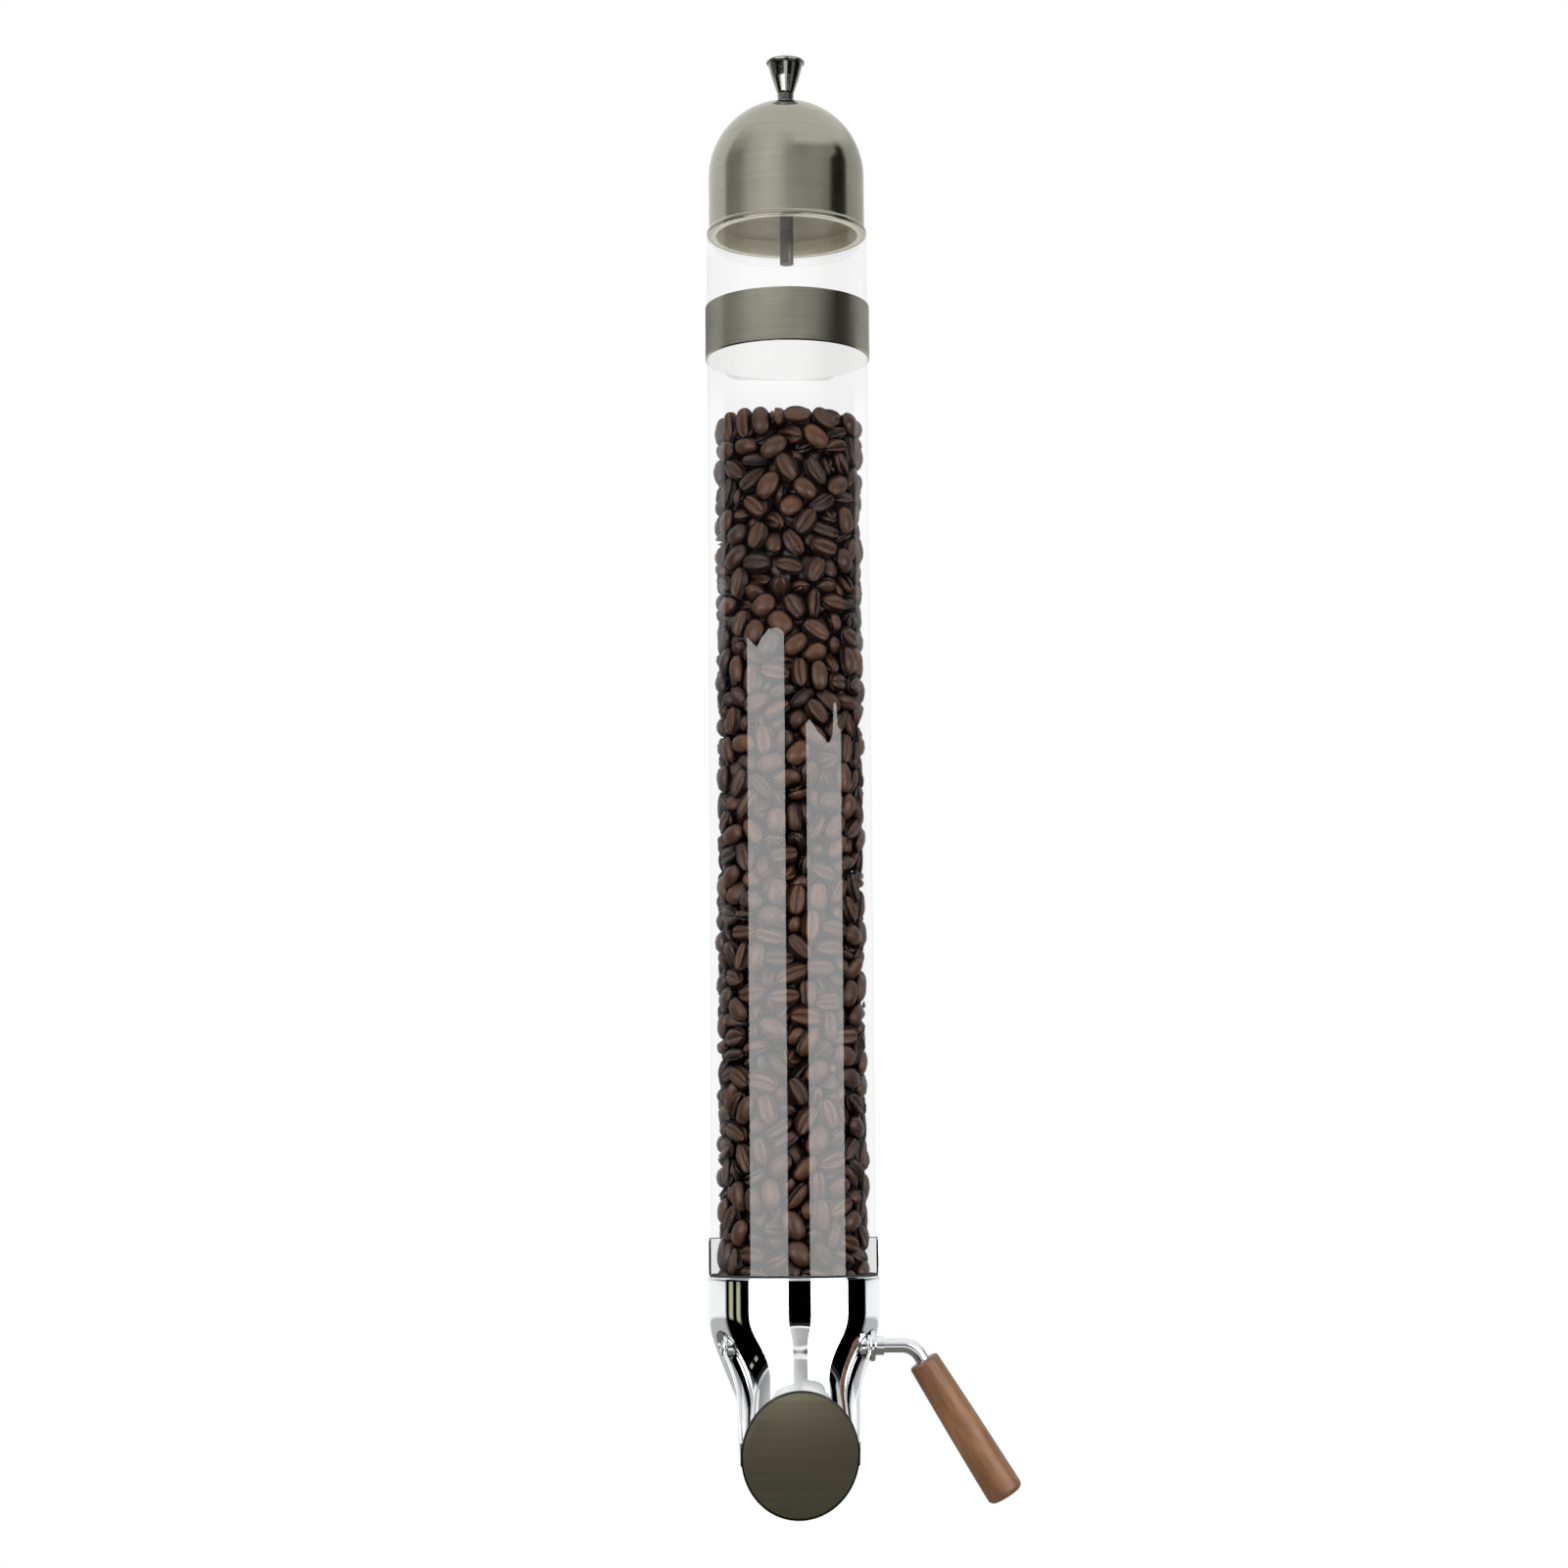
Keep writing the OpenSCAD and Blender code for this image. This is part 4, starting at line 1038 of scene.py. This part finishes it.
def chrome(name, colour, ripple=0.02, roughness=0.025):
    """Polished chrome over a casting: a faint ripple of the hand polishing, smears and fine scratches."""
    material, tree, surface, leave, place = new_material(name)
    smears = use_group(tree, HANDLING, {"Vector": place, "Size in mm": 16.0})
    shade = blend(tree, maths(tree, "MULTIPLY", smears["Smears"], 0.25), (*colour, 1),
                  tuple(c * 0.93 for c in colour) + (1,))
    tree.links.new(shade, surface.inputs["Base Color"])
    rough = maths(tree, "ADD", maths(tree, "MULTIPLY", smears["Smears"], 0.03),
                  maths(tree, "MULTIPLY", smears["Specks"], 0.08))
    tree.links.new(maths(tree, "ADD", rough, roughness), surface.inputs["Roughness"])
    surface.inputs["Metallic"].default_value = 1.0
    wave = put(tree, "ShaderNodeTexNoise", {"Vector": place, "Scale": 70.0, "Detail": 1.0}).outputs[0]
    bump(tree, surface, wave, ripple)
    return material


def clear_glass():
    """Clear tube glass that lets the lamps through to the beans."""
    material, tree, surface, leave, place = new_material("clear tube glass")
    smears = use_group(tree, HANDLING, {"Vector": place, "Size in mm": 30.0})
    surface.inputs["Base Color"].default_value = (1, 1, 1, 1)
    surface.inputs["Transmission Weight"].default_value = 1.0
    surface.inputs["IOR"].default_value = 1.0
    surface.inputs["Roughness"].default_value = 0.0
    facing = put(tree, "ShaderNodeLayerWeight", {"Blend": 0.5}).outputs["Facing"]
    tree.links.new(span(tree, facing, 0.3, 0.8, 1.0, 0.2), surface.inputs["Coat Weight"])
    surface.inputs["Coat IOR"].default_value = 1.8
    surface.inputs["Coat Roughness"].default_value = 0.0
    shade = blend(tree, maths(tree, "MULTIPLY", smears["Smears"], 0.3), (0.915, 0.917, 0.914, 1),
                  (0.905, 0.91, 0.905, 1))
    shade = blend(tree, span(tree, facing, 0.7, 0.88, 0.0, 1.0), shade, (0.8, 0.815, 0.81, 1))
    tree.links.new(shade, surface.inputs["Base Color"])
    rays = put(tree, "ShaderNodeLightPath").outputs
    through = maths(tree, "MAXIMUM", rays["Is Shadow Ray"],
                    maths(tree, "MAXIMUM", rays["Is Diffuse Ray"], rays["Is Glossy Ray"]))
    clear = put(tree, "ShaderNodeBsdfTransparent")
    both = put(tree, "ShaderNodeMixShader", {0: through, 1: surface.outputs[0], 2: clear.outputs[0]})
    tree.links.new(both.outputs[0], leave.inputs["Surface"])
    return material


def roasted_beans():
    """Dark roast with a slightly oily skin, a browner crease and a different roast on each bean."""
    material, tree, surface, leave, place = new_material("roasted beans")
    tone = put(tree, "ShaderNodeAttribute", attribute_name="tone").outputs["Fac"]
    hue = put(tree, "ShaderNodeAttribute", attribute_name="hue").outputs["Fac"]
    crease = put(tree, "ShaderNodeAttribute", attribute_name="crease").outputs["Fac"]
    dark = blend(tree, hue, (0.036, 0.014, 0.0065, 1), (0.026, 0.012, 0.007, 1))
    light = blend(tree, hue, (0.165, 0.062, 0.023, 1), (0.088, 0.036, 0.0155, 1))
    shade = blend(tree, span(tree, tone, 0.0, 1.0, 0.0, 1.0), dark, light)
    skin = put(tree, "ShaderNodeTexNoise", {"Vector": place, "Scale": 420.0, "Detail": 4.0, "Roughness": 0.6})
    mottled = blend(tree, span(tree, skin.outputs[0], 0.35, 0.7, 0.0, 0.5), shade, (0.022, 0.009, 0.005, 1))
    chaff = blend(tree, hue, (0.06, 0.024, 0.010, 1), (0.34, 0.16, 0.06, 1))
    shade = blend(tree, span(tree, crease, 0.25, 0.9, 0.0, 0.8), mottled, chaff)
    # Painted shade: the colour goes near black where beans close round a point, in the gaps between them
    painted_occlusion = put(tree, "ShaderNodeAmbientOcclusion", {"Distance": 4 * MM}, samples=6,
               only_local=True).outputs["AO"]
    shade = blend(tree, span(tree, painted_occlusion, 0.45, 0.95, 0.0, 1.0), (0.005, 0.003, 0.002, 1), shade)
    # Painted shade: the colour darkens towards each bean's outline
    facing = put(tree, "ShaderNodeLayerWeight", {"Blend": 0.5}).outputs["Facing"]
    shade = blend(tree, span(tree, facing, 0.35, 0.9, 0.0, 0.8), shade, (0.012, 0.007, 0.005, 1))
    tree.links.new(shade, surface.inputs["Base Color"])
    rough = span(tree, skin.outputs[0], 0.3, 0.7, 0.3, 0.46)
    tree.links.new(rough, surface.inputs["Roughness"])
    surface.inputs["Specular IOR Level"].default_value = 0.5
    wrinkle = put(tree, "ShaderNodeTexNoise", {"Vector": place, "Scale": 900.0, "Detail": 3.0}).outputs[0]
    bump(tree, surface, wrinkle, 0.12)
    return material


def walnut():
    """Oiled walnut with its grain along the grip and soft darker figures."""
    material, tree, surface, leave, place = new_material("oiled walnut")
    inverse = grip_frame().inverted()
    local = put(tree, "ShaderNodeVectorMath", {0: place, 1: tuple(-grip_frame().translation)},
                operation="ADD")
    turn = inverse.to_euler("XYZ")
    along = put(tree, "ShaderNodeVectorRotate", {"Vector": local.outputs[0], "Rotation": tuple(turn)},
                rotation_type="EULER_XYZ").outputs[0]
    grain_vector = put(tree, "ShaderNodeMapping", {"Vector": along, "Scale": (1.0, 1.0, 0.09)}).outputs[0]
    fibre = put(tree, "ShaderNodeTexNoise", {"Vector": grain_vector, "Scale": 900.0, "Detail": 4.0,
                                             "Roughness": 0.65}).outputs[0]
    figure = put(tree, "ShaderNodeTexNoise", {
        "Vector": put(tree, "ShaderNodeMapping", {"Vector": along, "Scale": (1, 1, 0.3)}).outputs[0],
        "Scale": 130.0, "Detail": 2.0, "Distortion": 1.2}).outputs[0]
    base = blend(tree, span(tree, figure, 0.35, 0.68, 0.0, 1.0), (0.28, 0.125, 0.043, 1),
                 (0.15, 0.056, 0.018, 1))
    shade = blend(tree, span(tree, fibre, 0.45, 0.75, 0.0, 0.45), base, (0.09, 0.037, 0.016, 1))
    shade = blend(tree, span(tree, fibre, 0.2, 0.42, 0.22, 0.0), shade, (0.4, 0.21, 0.09, 1))
    # Painted shade towards both ends of the grip, which leaves a painted highlight round its middle
    height = put(tree, "ShaderNodeSeparateXYZ", {0: place}).outputs[2]
    off_painted_highlight = maths(tree, "ABSOLUTE", maths(tree, "ADD", height, 46 * MM))
    shade = blend(tree, span(tree, off_painted_highlight, 6 * MM, 32 * MM, 0.0, 0.6), shade, (0.11, 0.045, 0.017, 1))
    # Painted shade: the colour darkens towards the grip's outline
    facing = put(tree, "ShaderNodeLayerWeight", {"Blend": 0.5}).outputs["Facing"]
    shade = blend(tree, span(tree, facing, 0.5, 0.95, 0.0, 0.7), shade, (0.05, 0.022, 0.010, 1))
    tree.links.new(shade, surface.inputs["Base Color"])
    tree.links.new(span(tree, fibre, 0.3, 0.7, 0.38, 0.52), surface.inputs["Roughness"])
    surface.inputs["Coat Weight"].default_value = 0.35
    surface.inputs["Coat Roughness"].default_value = 0.28
    bump(tree, surface, fibre, 0.03, 0.4)
    return material


def painted_glow_through_glass(tree, leave, surface, level):
    """Mixes in a painted pale glow, standing in for light, where the surface is seen through the glass."""
    rays = put(tree, "ShaderNodeLightPath").outputs
    glow = put(tree, "ShaderNodeEmission", {"Color": (1, 1, 0.995, 1), "Strength": level})
    both = put(tree, "ShaderNodeMixShader", {0: maths(tree, "MULTIPLY", rays["Is Transmission Ray"], 0.88),
                                             1: surface.outputs[0], 2: glow.outputs[0]})
    tree.links.new(both.outputs[0], leave.inputs["Surface"])


def rubber(name, dark, light, roughness=0.6, through=None):
    material, tree, surface, leave, place = new_material(name)
    grain = put(tree, "ShaderNodeTexNoise", {"Vector": place, "Scale": 1400.0, "Detail": 3.0}).outputs[0]
    smears = use_group(tree, HANDLING, {"Vector": place, "Size in mm": 12.0})
    shade = blend(tree, smears["Smears"], (*dark, 1), (*light, 1))
    tree.links.new(shade, surface.inputs["Base Color"])
    tree.links.new(span(tree, grain, 0.3, 0.7, roughness - 0.08, roughness + 0.08),
                   surface.inputs["Roughness"])
    bump(tree, surface, grain, 0.03, 0.5)
    # Painted light: a pale glow where the surface is seen through the glass
    if through:
        painted_glow_through_glass(tree, leave, surface, through)
    return material


def clear_silicone():
    """Clear silicone, faintly milky, that lets the lamps through."""
    material, tree, surface, leave, place = new_material("clear silicone")
    grain = put(tree, "ShaderNodeTexNoise", {"Vector": place, "Scale": 500.0, "Detail": 3.0}).outputs[0]
    shade = blend(tree, grain, (0.975, 0.98, 0.975, 1), (0.95, 0.955, 0.95, 1))
    tree.links.new(shade, surface.inputs["Base Color"])
    tree.links.new(span(tree, grain, 0.3, 0.7, 0.0, 0.06), surface.inputs["Roughness"])
    surface.inputs["Transmission Weight"].default_value = 1.0
    surface.inputs["IOR"].default_value = 1.0
    surface.inputs["Coat Weight"].default_value = 0.2
    rays = put(tree, "ShaderNodeLightPath").outputs
    through = maths(tree, "MAXIMUM", rays["Is Shadow Ray"], rays["Is Diffuse Ray"])
    clear = put(tree, "ShaderNodeBsdfTransparent")
    both = put(tree, "ShaderNodeMixShader", {0: through, 1: surface.outputs[0], 2: clear.outputs[0]})
    tree.links.new(both.outputs[0], leave.inputs["Surface"])
    return material


# Studio


def bands_ramp(tree, value, stops):
    """A colour ramp over degrees from -180 to 180, given as (degrees, brightness) stops."""
    ramp = put(tree, "ShaderNodeValToRGB", {"Fac": value})
    ramp.color_ramp.interpolation = "LINEAR"
    points = ramp.color_ramp.elements
    while len(points) > 1:
        points.remove(points[-1])
    for number, (degrees, bright) in enumerate(stops):
        place = (degrees + 180) / 360
        point = points[0] if number == 0 else points.new(place)
        point.position = place
        tint = bright if isinstance(bright, tuple) else (bright, bright, bright)
        point.color = (*tint, 1)
    return ramp.outputs[0]


PALE = (0.5, 0.48, 0.32)
GLASS_STUDIO = ((-180, 0.9), (-140, 0.7), (-104, 0.0), (104, 0.0), (140, 0.7), (180, 0.9))
BAND_STUDIO = (
    (-180, 0.22), (-158, 0.22), (-98, 0.48), (-55, 1.0), (-13, 0.92), (15, 1.0), (37, 0.6), (56, 0.05),
    (66, 0.04), (94, 0.17), (123, 0.42), (150, 0.42), (180, 0.3),
)
LOW_STUDIO = (
    (-180, 1.0), (-109, 1.0), (-106, 0.0), (-101, 0.0), (-99.5, PALE), (-94, PALE), (-92.5, 0.0), (-87, 0.0),
    (-85.5, PALE), (-81, PALE), (-79.5, 0.0), (107, 0.0), (110, 1.0), (180, 1.0),
)
HIGH_STUDIO = (
    (-180, 0.95), (-107, 0.95), (-103, 0.3), (-76, 0.34), (-60, 0.72), (-30, 1.0), (-14, 0.85), (0, 0.5),
    (20, (0.4, 0.42, 0.42)), (45, (0.48, 0.5, 0.5)), (62, 0.42), (93, 0.42), (101, 0.6), (150, 0.65),
    (180, 0.95),
)
HIGH_FROM, HIGH_TO = 13.2, 13.8
CEILING_FROM, CEILING_TO = 31.0, 40.0
UNDER_FROM, UNDER_TO = -4.5, -6.0
UNDER_STUDIO = (
    (-180, 0.5), (-112, 0.5), (-106, 0.0), (-16, 0.0), (-13, 0.9), (8, 0.9), (11, 0.0), (40, 0.0), (48, 0.2),
    (62, 0.2), (70, 0.0), (106, 0.0), (112, 0.5), (180, 0.5),
)
GROUND_FROM, GROUND_TO = -22.0, -32.0
GROUND = (0.17, 0.165, 0.15, 1)
# A dark doorway to the right, whose near edge leans: its azimuths at two elevations
DOOR_LOW, DOOR_HIGH, DOOR_FAR = (15.0, 60.0), (27.0, 78.0), 95.0


def studio_world():
    """White for the camera and through glass, a plain soft light, and pale and dark bands for gloss."""
    world = bpy.data.worlds.new("studio")
    bpy.context.scene.world = world
    world.use_nodes = True
    tree = world.node_tree
    tree.nodes.clear()
    way = put(tree, "ShaderNodeTexCoord").outputs["Generated"]
    parts = put(tree, "ShaderNodeSeparateXYZ", {0: way}).outputs
    azimuth = maths(tree, "ARCTAN2", parts[0], maths(tree, "MULTIPLY", parts[1], -1.0))
    share = maths(tree, "ADD", maths(tree, "DIVIDE", azimuth, 2 * math.pi), 0.5)
    rise = maths(tree, "MULTIPLY", maths(tree, "ARCSINE", parts[2]), 180 / math.pi)
    low = blend(tree, span(tree, rise, -1.75, -1.65, 0.0, 1.0), bands_ramp(tree, share, LOW_STUDIO),
                bands_ramp(tree, share, GLASS_STUDIO))
    high = bands_ramp(tree, share, HIGH_STUDIO)
    door_edge = span(tree, rise, DOOR_LOW[0], DOOR_HIGH[0], DOOR_LOW[1], DOOR_HIGH[1])
    degrees = maths(tree, "MULTIPLY", azimuth, 180 / math.pi)
    past_edge = span(tree, maths(tree, "SUBTRACT", degrees, door_edge), 0.0, 3.0, 0.0, 1.0)
    door = maths(tree, "MULTIPLY", past_edge, span(tree, degrees, DOOR_FAR, DOOR_FAR + 3, 1.0, 0.0))
    high = blend(tree, door, high, (0.0, 0.0, 0.0, 1))
    high = blend(tree, span(tree, rise, 15.9, 16.2, 0.0, 1.0), bands_ramp(tree, share, BAND_STUDIO), high)
    behind = span(tree, maths(tree, "ABSOLUTE", maths(tree, "SUBTRACT", share, 0.5)), 105 / 360, 110 / 360,
                  0.0, 1.0)
    dark = blend(tree, behind, (0.02, 0.02, 0.02, 1), (1, 1, 1, 1))
    level = blend(tree, span(tree, rise, 9.0, 9.3, 0.0, 1.0), low, dark)
    level = blend(tree, span(tree, rise, HIGH_FROM, HIGH_TO, 0.0, 1.0), level, high)
    soft = span(tree, rise, 22.0, 60.0, 0.0, 1.0)
    sharp = span(tree, rise, CEILING_FROM, CEILING_TO, 0.0, 1.0)
    right = span(tree, degrees, 4.0, 14.0, 0.0, 1.0)
    ceiling = maths(tree, "ADD", soft, maths(tree, "MULTIPLY", right, maths(tree, "SUBTRACT", sharp, soft)))
    level = blend(tree, ceiling, level, (0.95, 0.95, 0.95, 1))
    under = bands_ramp(tree, share, UNDER_STUDIO)
    level = blend(tree, span(tree, rise, UNDER_TO, UNDER_FROM, 1.0, 0.0), level, under)
    level = blend(tree, span(tree, rise, GROUND_TO, GROUND_FROM, 1.0, 0.0), level, GROUND)
    rays = put(tree, "ShaderNodeLightPath").outputs
    seen = maths(tree, "MAXIMUM", rays["Is Camera Ray"], rays["Is Transmission Ray"])
    gloss = put(tree, "ShaderNodeBackground", {"Color": level, "Strength": 1.0})
    plain = put(tree, "ShaderNodeBackground", {"Color": (1, 1, 1, 1), "Strength": 0.72})
    white = put(tree, "ShaderNodeBackground", {"Color": (1, 1, 1, 1), "Strength": 1.0})
    lit = put(tree, "ShaderNodeMixShader", {0: rays["Is Glossy Ray"], 1: plain.outputs[0],
                                            2: gloss.outputs[0]})
    both = put(tree, "ShaderNodeMixShader", {0: seen, 1: lit.outputs[0], 2: white.outputs[0]})
    put(tree, "ShaderNodeOutputWorld", {"Surface": both.outputs[0]})


def studio_floor():
    """A plain pale floor far below, which mirrors and glass don't show."""
    steps, reach, drop = 96, 4.0, 0.4
    points = [(reach * math.cos(2 * math.pi * i / steps), reach * math.sin(2 * math.pi * i / steps), -drop)
              for i in range(steps)]
    floor = add_mesh("studio_floor", points, [list(range(steps))])
    material, tree, surface, leave, place = new_material("pale floor")
    grain = put(tree, "ShaderNodeTexNoise", {"Vector": place, "Scale": 60.0, "Detail": 3.0}).outputs[0]
    tree.links.new(blend(tree, grain, (0.92, 0.92, 0.92, 1), (0.95, 0.95, 0.95, 1)),
                   surface.inputs["Base Color"])
    surface.inputs["Roughness"].default_value = 0.9
    glow = put(tree, "ShaderNodeEmission", {"Color": (1, 1, 1, 1), "Strength": 1.0})
    rays = put(tree, "ShaderNodeLightPath").outputs
    far = put(tree, "ShaderNodeVectorMath", {0: place}, operation="LENGTH").outputs["Value"]
    white_share = span(tree, far, 0.25, 1.1, 0.97, 1.0)
    seen = put(tree, "ShaderNodeMixShader", {0: maths(tree, "MULTIPLY", rays["Is Camera Ray"], white_share),
                                             1: surface.outputs[0], 2: glow.outputs[0]})
    clear = put(tree, "ShaderNodeBsdfTransparent")
    through = maths(tree, "MAXIMUM", rays["Is Glossy Ray"], rays["Is Transmission Ray"])
    both = put(tree, "ShaderNodeMixShader", {0: through, 1: seen.outputs[0], 2: clear.outputs[0]})
    tree.links.new(both.outputs[0], leave.inputs["Surface"])
    floor.data.materials.append(material)


def only_in_gloss(tree, leave, surface):
    """Shows a surface to glossy rays and lets all others pass."""
    rays = put(tree, "ShaderNodeLightPath").outputs
    clear = put(tree, "ShaderNodeBsdfTransparent")
    both = put(tree, "ShaderNodeMixShader", {0: rays["Is Glossy Ray"], 1: clear.outputs[0], 2: surface})
    tree.links.new(both.outputs[0], leave.inputs["Surface"])


SOFTBOX_REACH = 0.6
SOFTBOX_LEVEL = 3.0


def front_softbox(name, from_degrees, to_degrees, top, shares, lifts):
    """A tall curved glowing panel in front of the bin with an uneven top, seen in gloss alone."""
    steps = 80
    points = []
    for upper in (False, True):
        for i in range(steps + 1):
            a = math.radians(mix(from_degrees, to_degrees, i / steps))
            height = top + float(np.interp(i / steps, shares, lifts)) * MM if upper else -0.075
            points.append((SOFTBOX_REACH * math.sin(a), TUBE_Y - SOFTBOX_REACH * math.cos(a), height))
    faces = [(i, i + 1, steps + 2 + i, steps + 1 + i) for i in range(steps)]
    box = add_mesh(name, points, faces)
    material, tree, surface, leave, place = new_material(name + " cloth")
    cloth = put(tree, "ShaderNodeTexNoise", {"Vector": place, "Scale": 9.0, "Detail": 2.0}).outputs[0]
    tone = blend(tree, cloth, (0.96, 0.96, 0.955, 1), (1, 1, 1, 1))
    glow = put(tree, "ShaderNodeEmission", {"Color": tone, "Strength": SOFTBOX_LEVEL})
    only_in_gloss(tree, leave, glow.outputs[0])
    box.data.materials.append(material)


def softbox_lamp(name, place, aim, size, power):
    lamp = bpy.data.lights.new(name, "AREA")
    lamp.shape = "SQUARE"
    lamp.size = size
    lamp.energy = power
    thing = bpy.data.objects.new(name, lamp)
    thing.location = place
    thing.rotation_euler = (Vector(aim) - Vector(place)).to_track_quat("-Z", "Y").to_euler()
    thing.visible_glossy = False
    bpy.context.scene.collection.objects.link(thing)


CAMERA_PLACE = (-0.08266, -1.453, 0.0591)
CAMERA_YAW, CAMERA_PITCH, CAMERA_ROLL = 3.264, 6.837, -0.392
CAMERA_LENS, CAMERA_SENSOR = 75.44, 36.0


def place_camera():
    yaw, pitch, roll = (math.radians(a) for a in (CAMERA_YAW, CAMERA_PITCH, CAMERA_ROLL))
    ahead = Vector((math.sin(yaw) * math.cos(pitch), math.cos(yaw) * math.cos(pitch), math.sin(pitch)))
    right = Vector((math.cos(yaw), -math.sin(yaw), 0))
    up = right.cross(ahead)
    right, up = (math.cos(roll) * right + math.sin(roll) * up, math.cos(roll) * up - math.sin(roll) * right)
    data = bpy.data.cameras.new("camera")
    data.sensor_fit = "HORIZONTAL"
    data.sensor_width = CAMERA_SENSOR
    data.lens = CAMERA_LENS
    data.clip_start, data.clip_end = 0.01, 50
    camera = bpy.data.objects.new("camera", data)
    turn = Matrix((right, up, -ahead)).transposed().to_4x4()
    camera.matrix_world = Matrix.Translation(CAMERA_PLACE) @ turn
    bpy.context.scene.collection.objects.link(camera)
    bpy.context.scene.camera = camera


bpy.context.scene.view_settings.view_transform = "Standard"
place_camera()
studio_world()
studio_floor()
front_softbox("left_softbox", -64.2, -10.7, 0.385,
              (0, 0.28, 0.42, 0.62, 0.85, 1), (-4, -11, -5, -0.5, 0, -3))
front_softbox("right_softbox", 18.5, 71.0, 0.33, (0, 0.1, 0.3, 0.62, 0.74, 0.78, 0.86, 0.9, 1),
              (-2, 0, -7, -14, -8, 11, 11, -3, -5))
softbox_lamp("key_softbox", (-0.9, -1.1, 1.5), (0, -0.05, 0.2), 0.9, 15)
softbox_lamp("fill_softbox", (1.1, -1.0, 1.0), (0, -0.05, 0.1), 0.9, 8)

NICKEL = (0.385, 0.372, 0.302)
glass_material = clear_glass()
bean_material = roasted_beans()
chrome_material = chrome("polished chrome casting", (0.86, 0.87, 0.88))
rod_material = chrome("polished chrome rod", (0.84, 0.85, 0.87), 0.006, 0.03)
dome_material = brushed_metal("brushed nickel dome", NICKEL, 0.13, 4.0, 30.0, 0.05, 0.6, True, depth=0.002)
band_material = brushed_metal("brushed nickel band", NICKEL, 0.17, 5.0, 20.0, 0.04, 0.5, True, depth=0.0015)
# Painted light: a lighter, less metallic copy of the dome's nickel for the inside of the lid
dome_inside_painted_light_material = brushed_metal("satin nickel inside, painted lighter", (0.62, 0.58, 0.43), 0.42, 4.0, 30.0, 0.08,
                                    metallic=0.3)
# Painted light: the socket glows pale where it is seen through the glass
socket_material = brushed_metal("satin machined socket", (0.86, 0.87, 0.87), 0.5, 5.0, 20.0, 0.03,
                                metallic=0.3, through=0.9)
knob_material = brushed_metal("turned nickel knob", (0.42, 0.43, 0.39), 0.14, 3.0, 30.0, 0.05, 0.4, True,
                              depth=0.001)
stem_material = brushed_metal("plain dark steel", (0.14, 0.13, 0.095), 0.35, 3.0, 8.0, 0.1)
# The flap's upper part is painted lighter, as painted light
flap_material = brushed_metal("brushed nickel flap", (0.30, 0.285, 0.205), 0.36, 3.0, 40.0, 0.12, 0.0,
                              depth=0.002, tint=(0.33, 0.26, 0.17), painted_light_by_height=(-60, -30, (1.45, 1.42, 1.4)))
# Painted shade: a near-black material for the flap's edge faces
flap_edge_painted_shade_material = brushed_metal("flap edge painted dark as shade", (0.02, 0.02, 0.018), 0.4, 4.0, 10.0, 0.1)
# Painted light: the plate glows pale where it is seen through the glass
plate_material = brushed_metal("satin steel plate", (0.6, 0.6, 0.58), 0.32, 4.0, 18.0, 0.08, through=0.85)
fastener_material = brushed_metal("plain steel fastener", (0.5, 0.5, 0.49), 0.28, 7.0, 3.0, 0.12)
gasket_material = rubber("black rubber", (0.02, 0.022, 0.025), (0.035, 0.036, 0.038))
bush_material = rubber("natural acetal", (0.82, 0.8, 0.74), (0.86, 0.84, 0.79), 0.4)
silicone_material = clear_silicone()
# Painted light: the liner glows pale where it is seen through the glass
liner_material = rubber("white silicone", (0.88, 0.89, 0.88), (0.84, 0.85, 0.84), 0.5, through=0.97)
wood_material = walnut()

glass(glass_material)
tube_beans(bean_material)
mouth_beans(bean_material)
cast_chute(chrome_material, socket_material)
dome(dome_material, dome_inside_painted_light_material)
knob(knob_material)
band(band_material, socket_material)
lever(rod_material)
brazed_collar(rod_material)
wooden_grip(wood_material)

DRESSED = (
    ("brushed_flap", "flap", 0.45 * MM, flap_material, "gate", "flap_steel"),
    ("left_strap_arm", "arm_left", 0.2 * MM, chrome_material, "gate", "mirror_chrome"),
    ("right_strap_arm", "arm_right", 0.2 * MM, chrome_material, "gate", "mirror_chrome"),
    ("upper_plate", "upper_wall_plate", 0.35 * MM, plate_material, "housing", "plate_steel"),
    ("lower_plate", "lower_wall_plate", 0.35 * MM, plate_material, "housing", "plate_steel"),
    ("clamp_screw", "clamp_bolt", 0.2 * MM, fastener_material, "housing", "fastener_steel"),
    ("hex_nut", "clamp_nut", 0.15 * MM, fastener_material, "housing", "fastener_steel"),
    ("end_screw", "arm_end_screw", 0.12 * MM, fastener_material, "gate", "fastener_steel"),
    # The lid ring takes the lighter inside nickel: painted light
    ("lid_inner_ring", "lid_ring", 0.2 * MM, dome_inside_painted_light_material, "lid", "dome_steel"),
)
for title, node, edge, material, body, slot in DRESSED:
    finish_piece(dressed(title, node, edge), material, body, slot, node)

flap_piece = bpy.data.objects["brushed_flap"]
flap_face = max(flap_piece.data.polygons, key=lambda face: face.area).normal.copy()
# The flap's edge faces get the near-black painted shade
finish_inside(flap_piece, flap_edge_painted_shade_material, lambda middle, normal: abs(normal.dot(flap_face)) < 0.8)
# Painted shade: a dark ring just inside the flap's edge
painted_rim_shade(flap_material, flap_piece)

KEPT = {
    "tube_gasket": gasket_material,
    "flap_seal": gasket_material,
    "band_liner": liner_material,
    "lid_plug": silicone_material,
    "pivot_bushes": bush_material,
    "stop_pins": fastener_material,
    "peg_grub_screw": fastener_material,
    "lid_stem": stem_material,
    "lid_washer": stem_material,
}
for node, material in KEPT.items():
    frame["nodes"][node].data.materials.clear()
    frame["nodes"][node].data.materials.append(material)
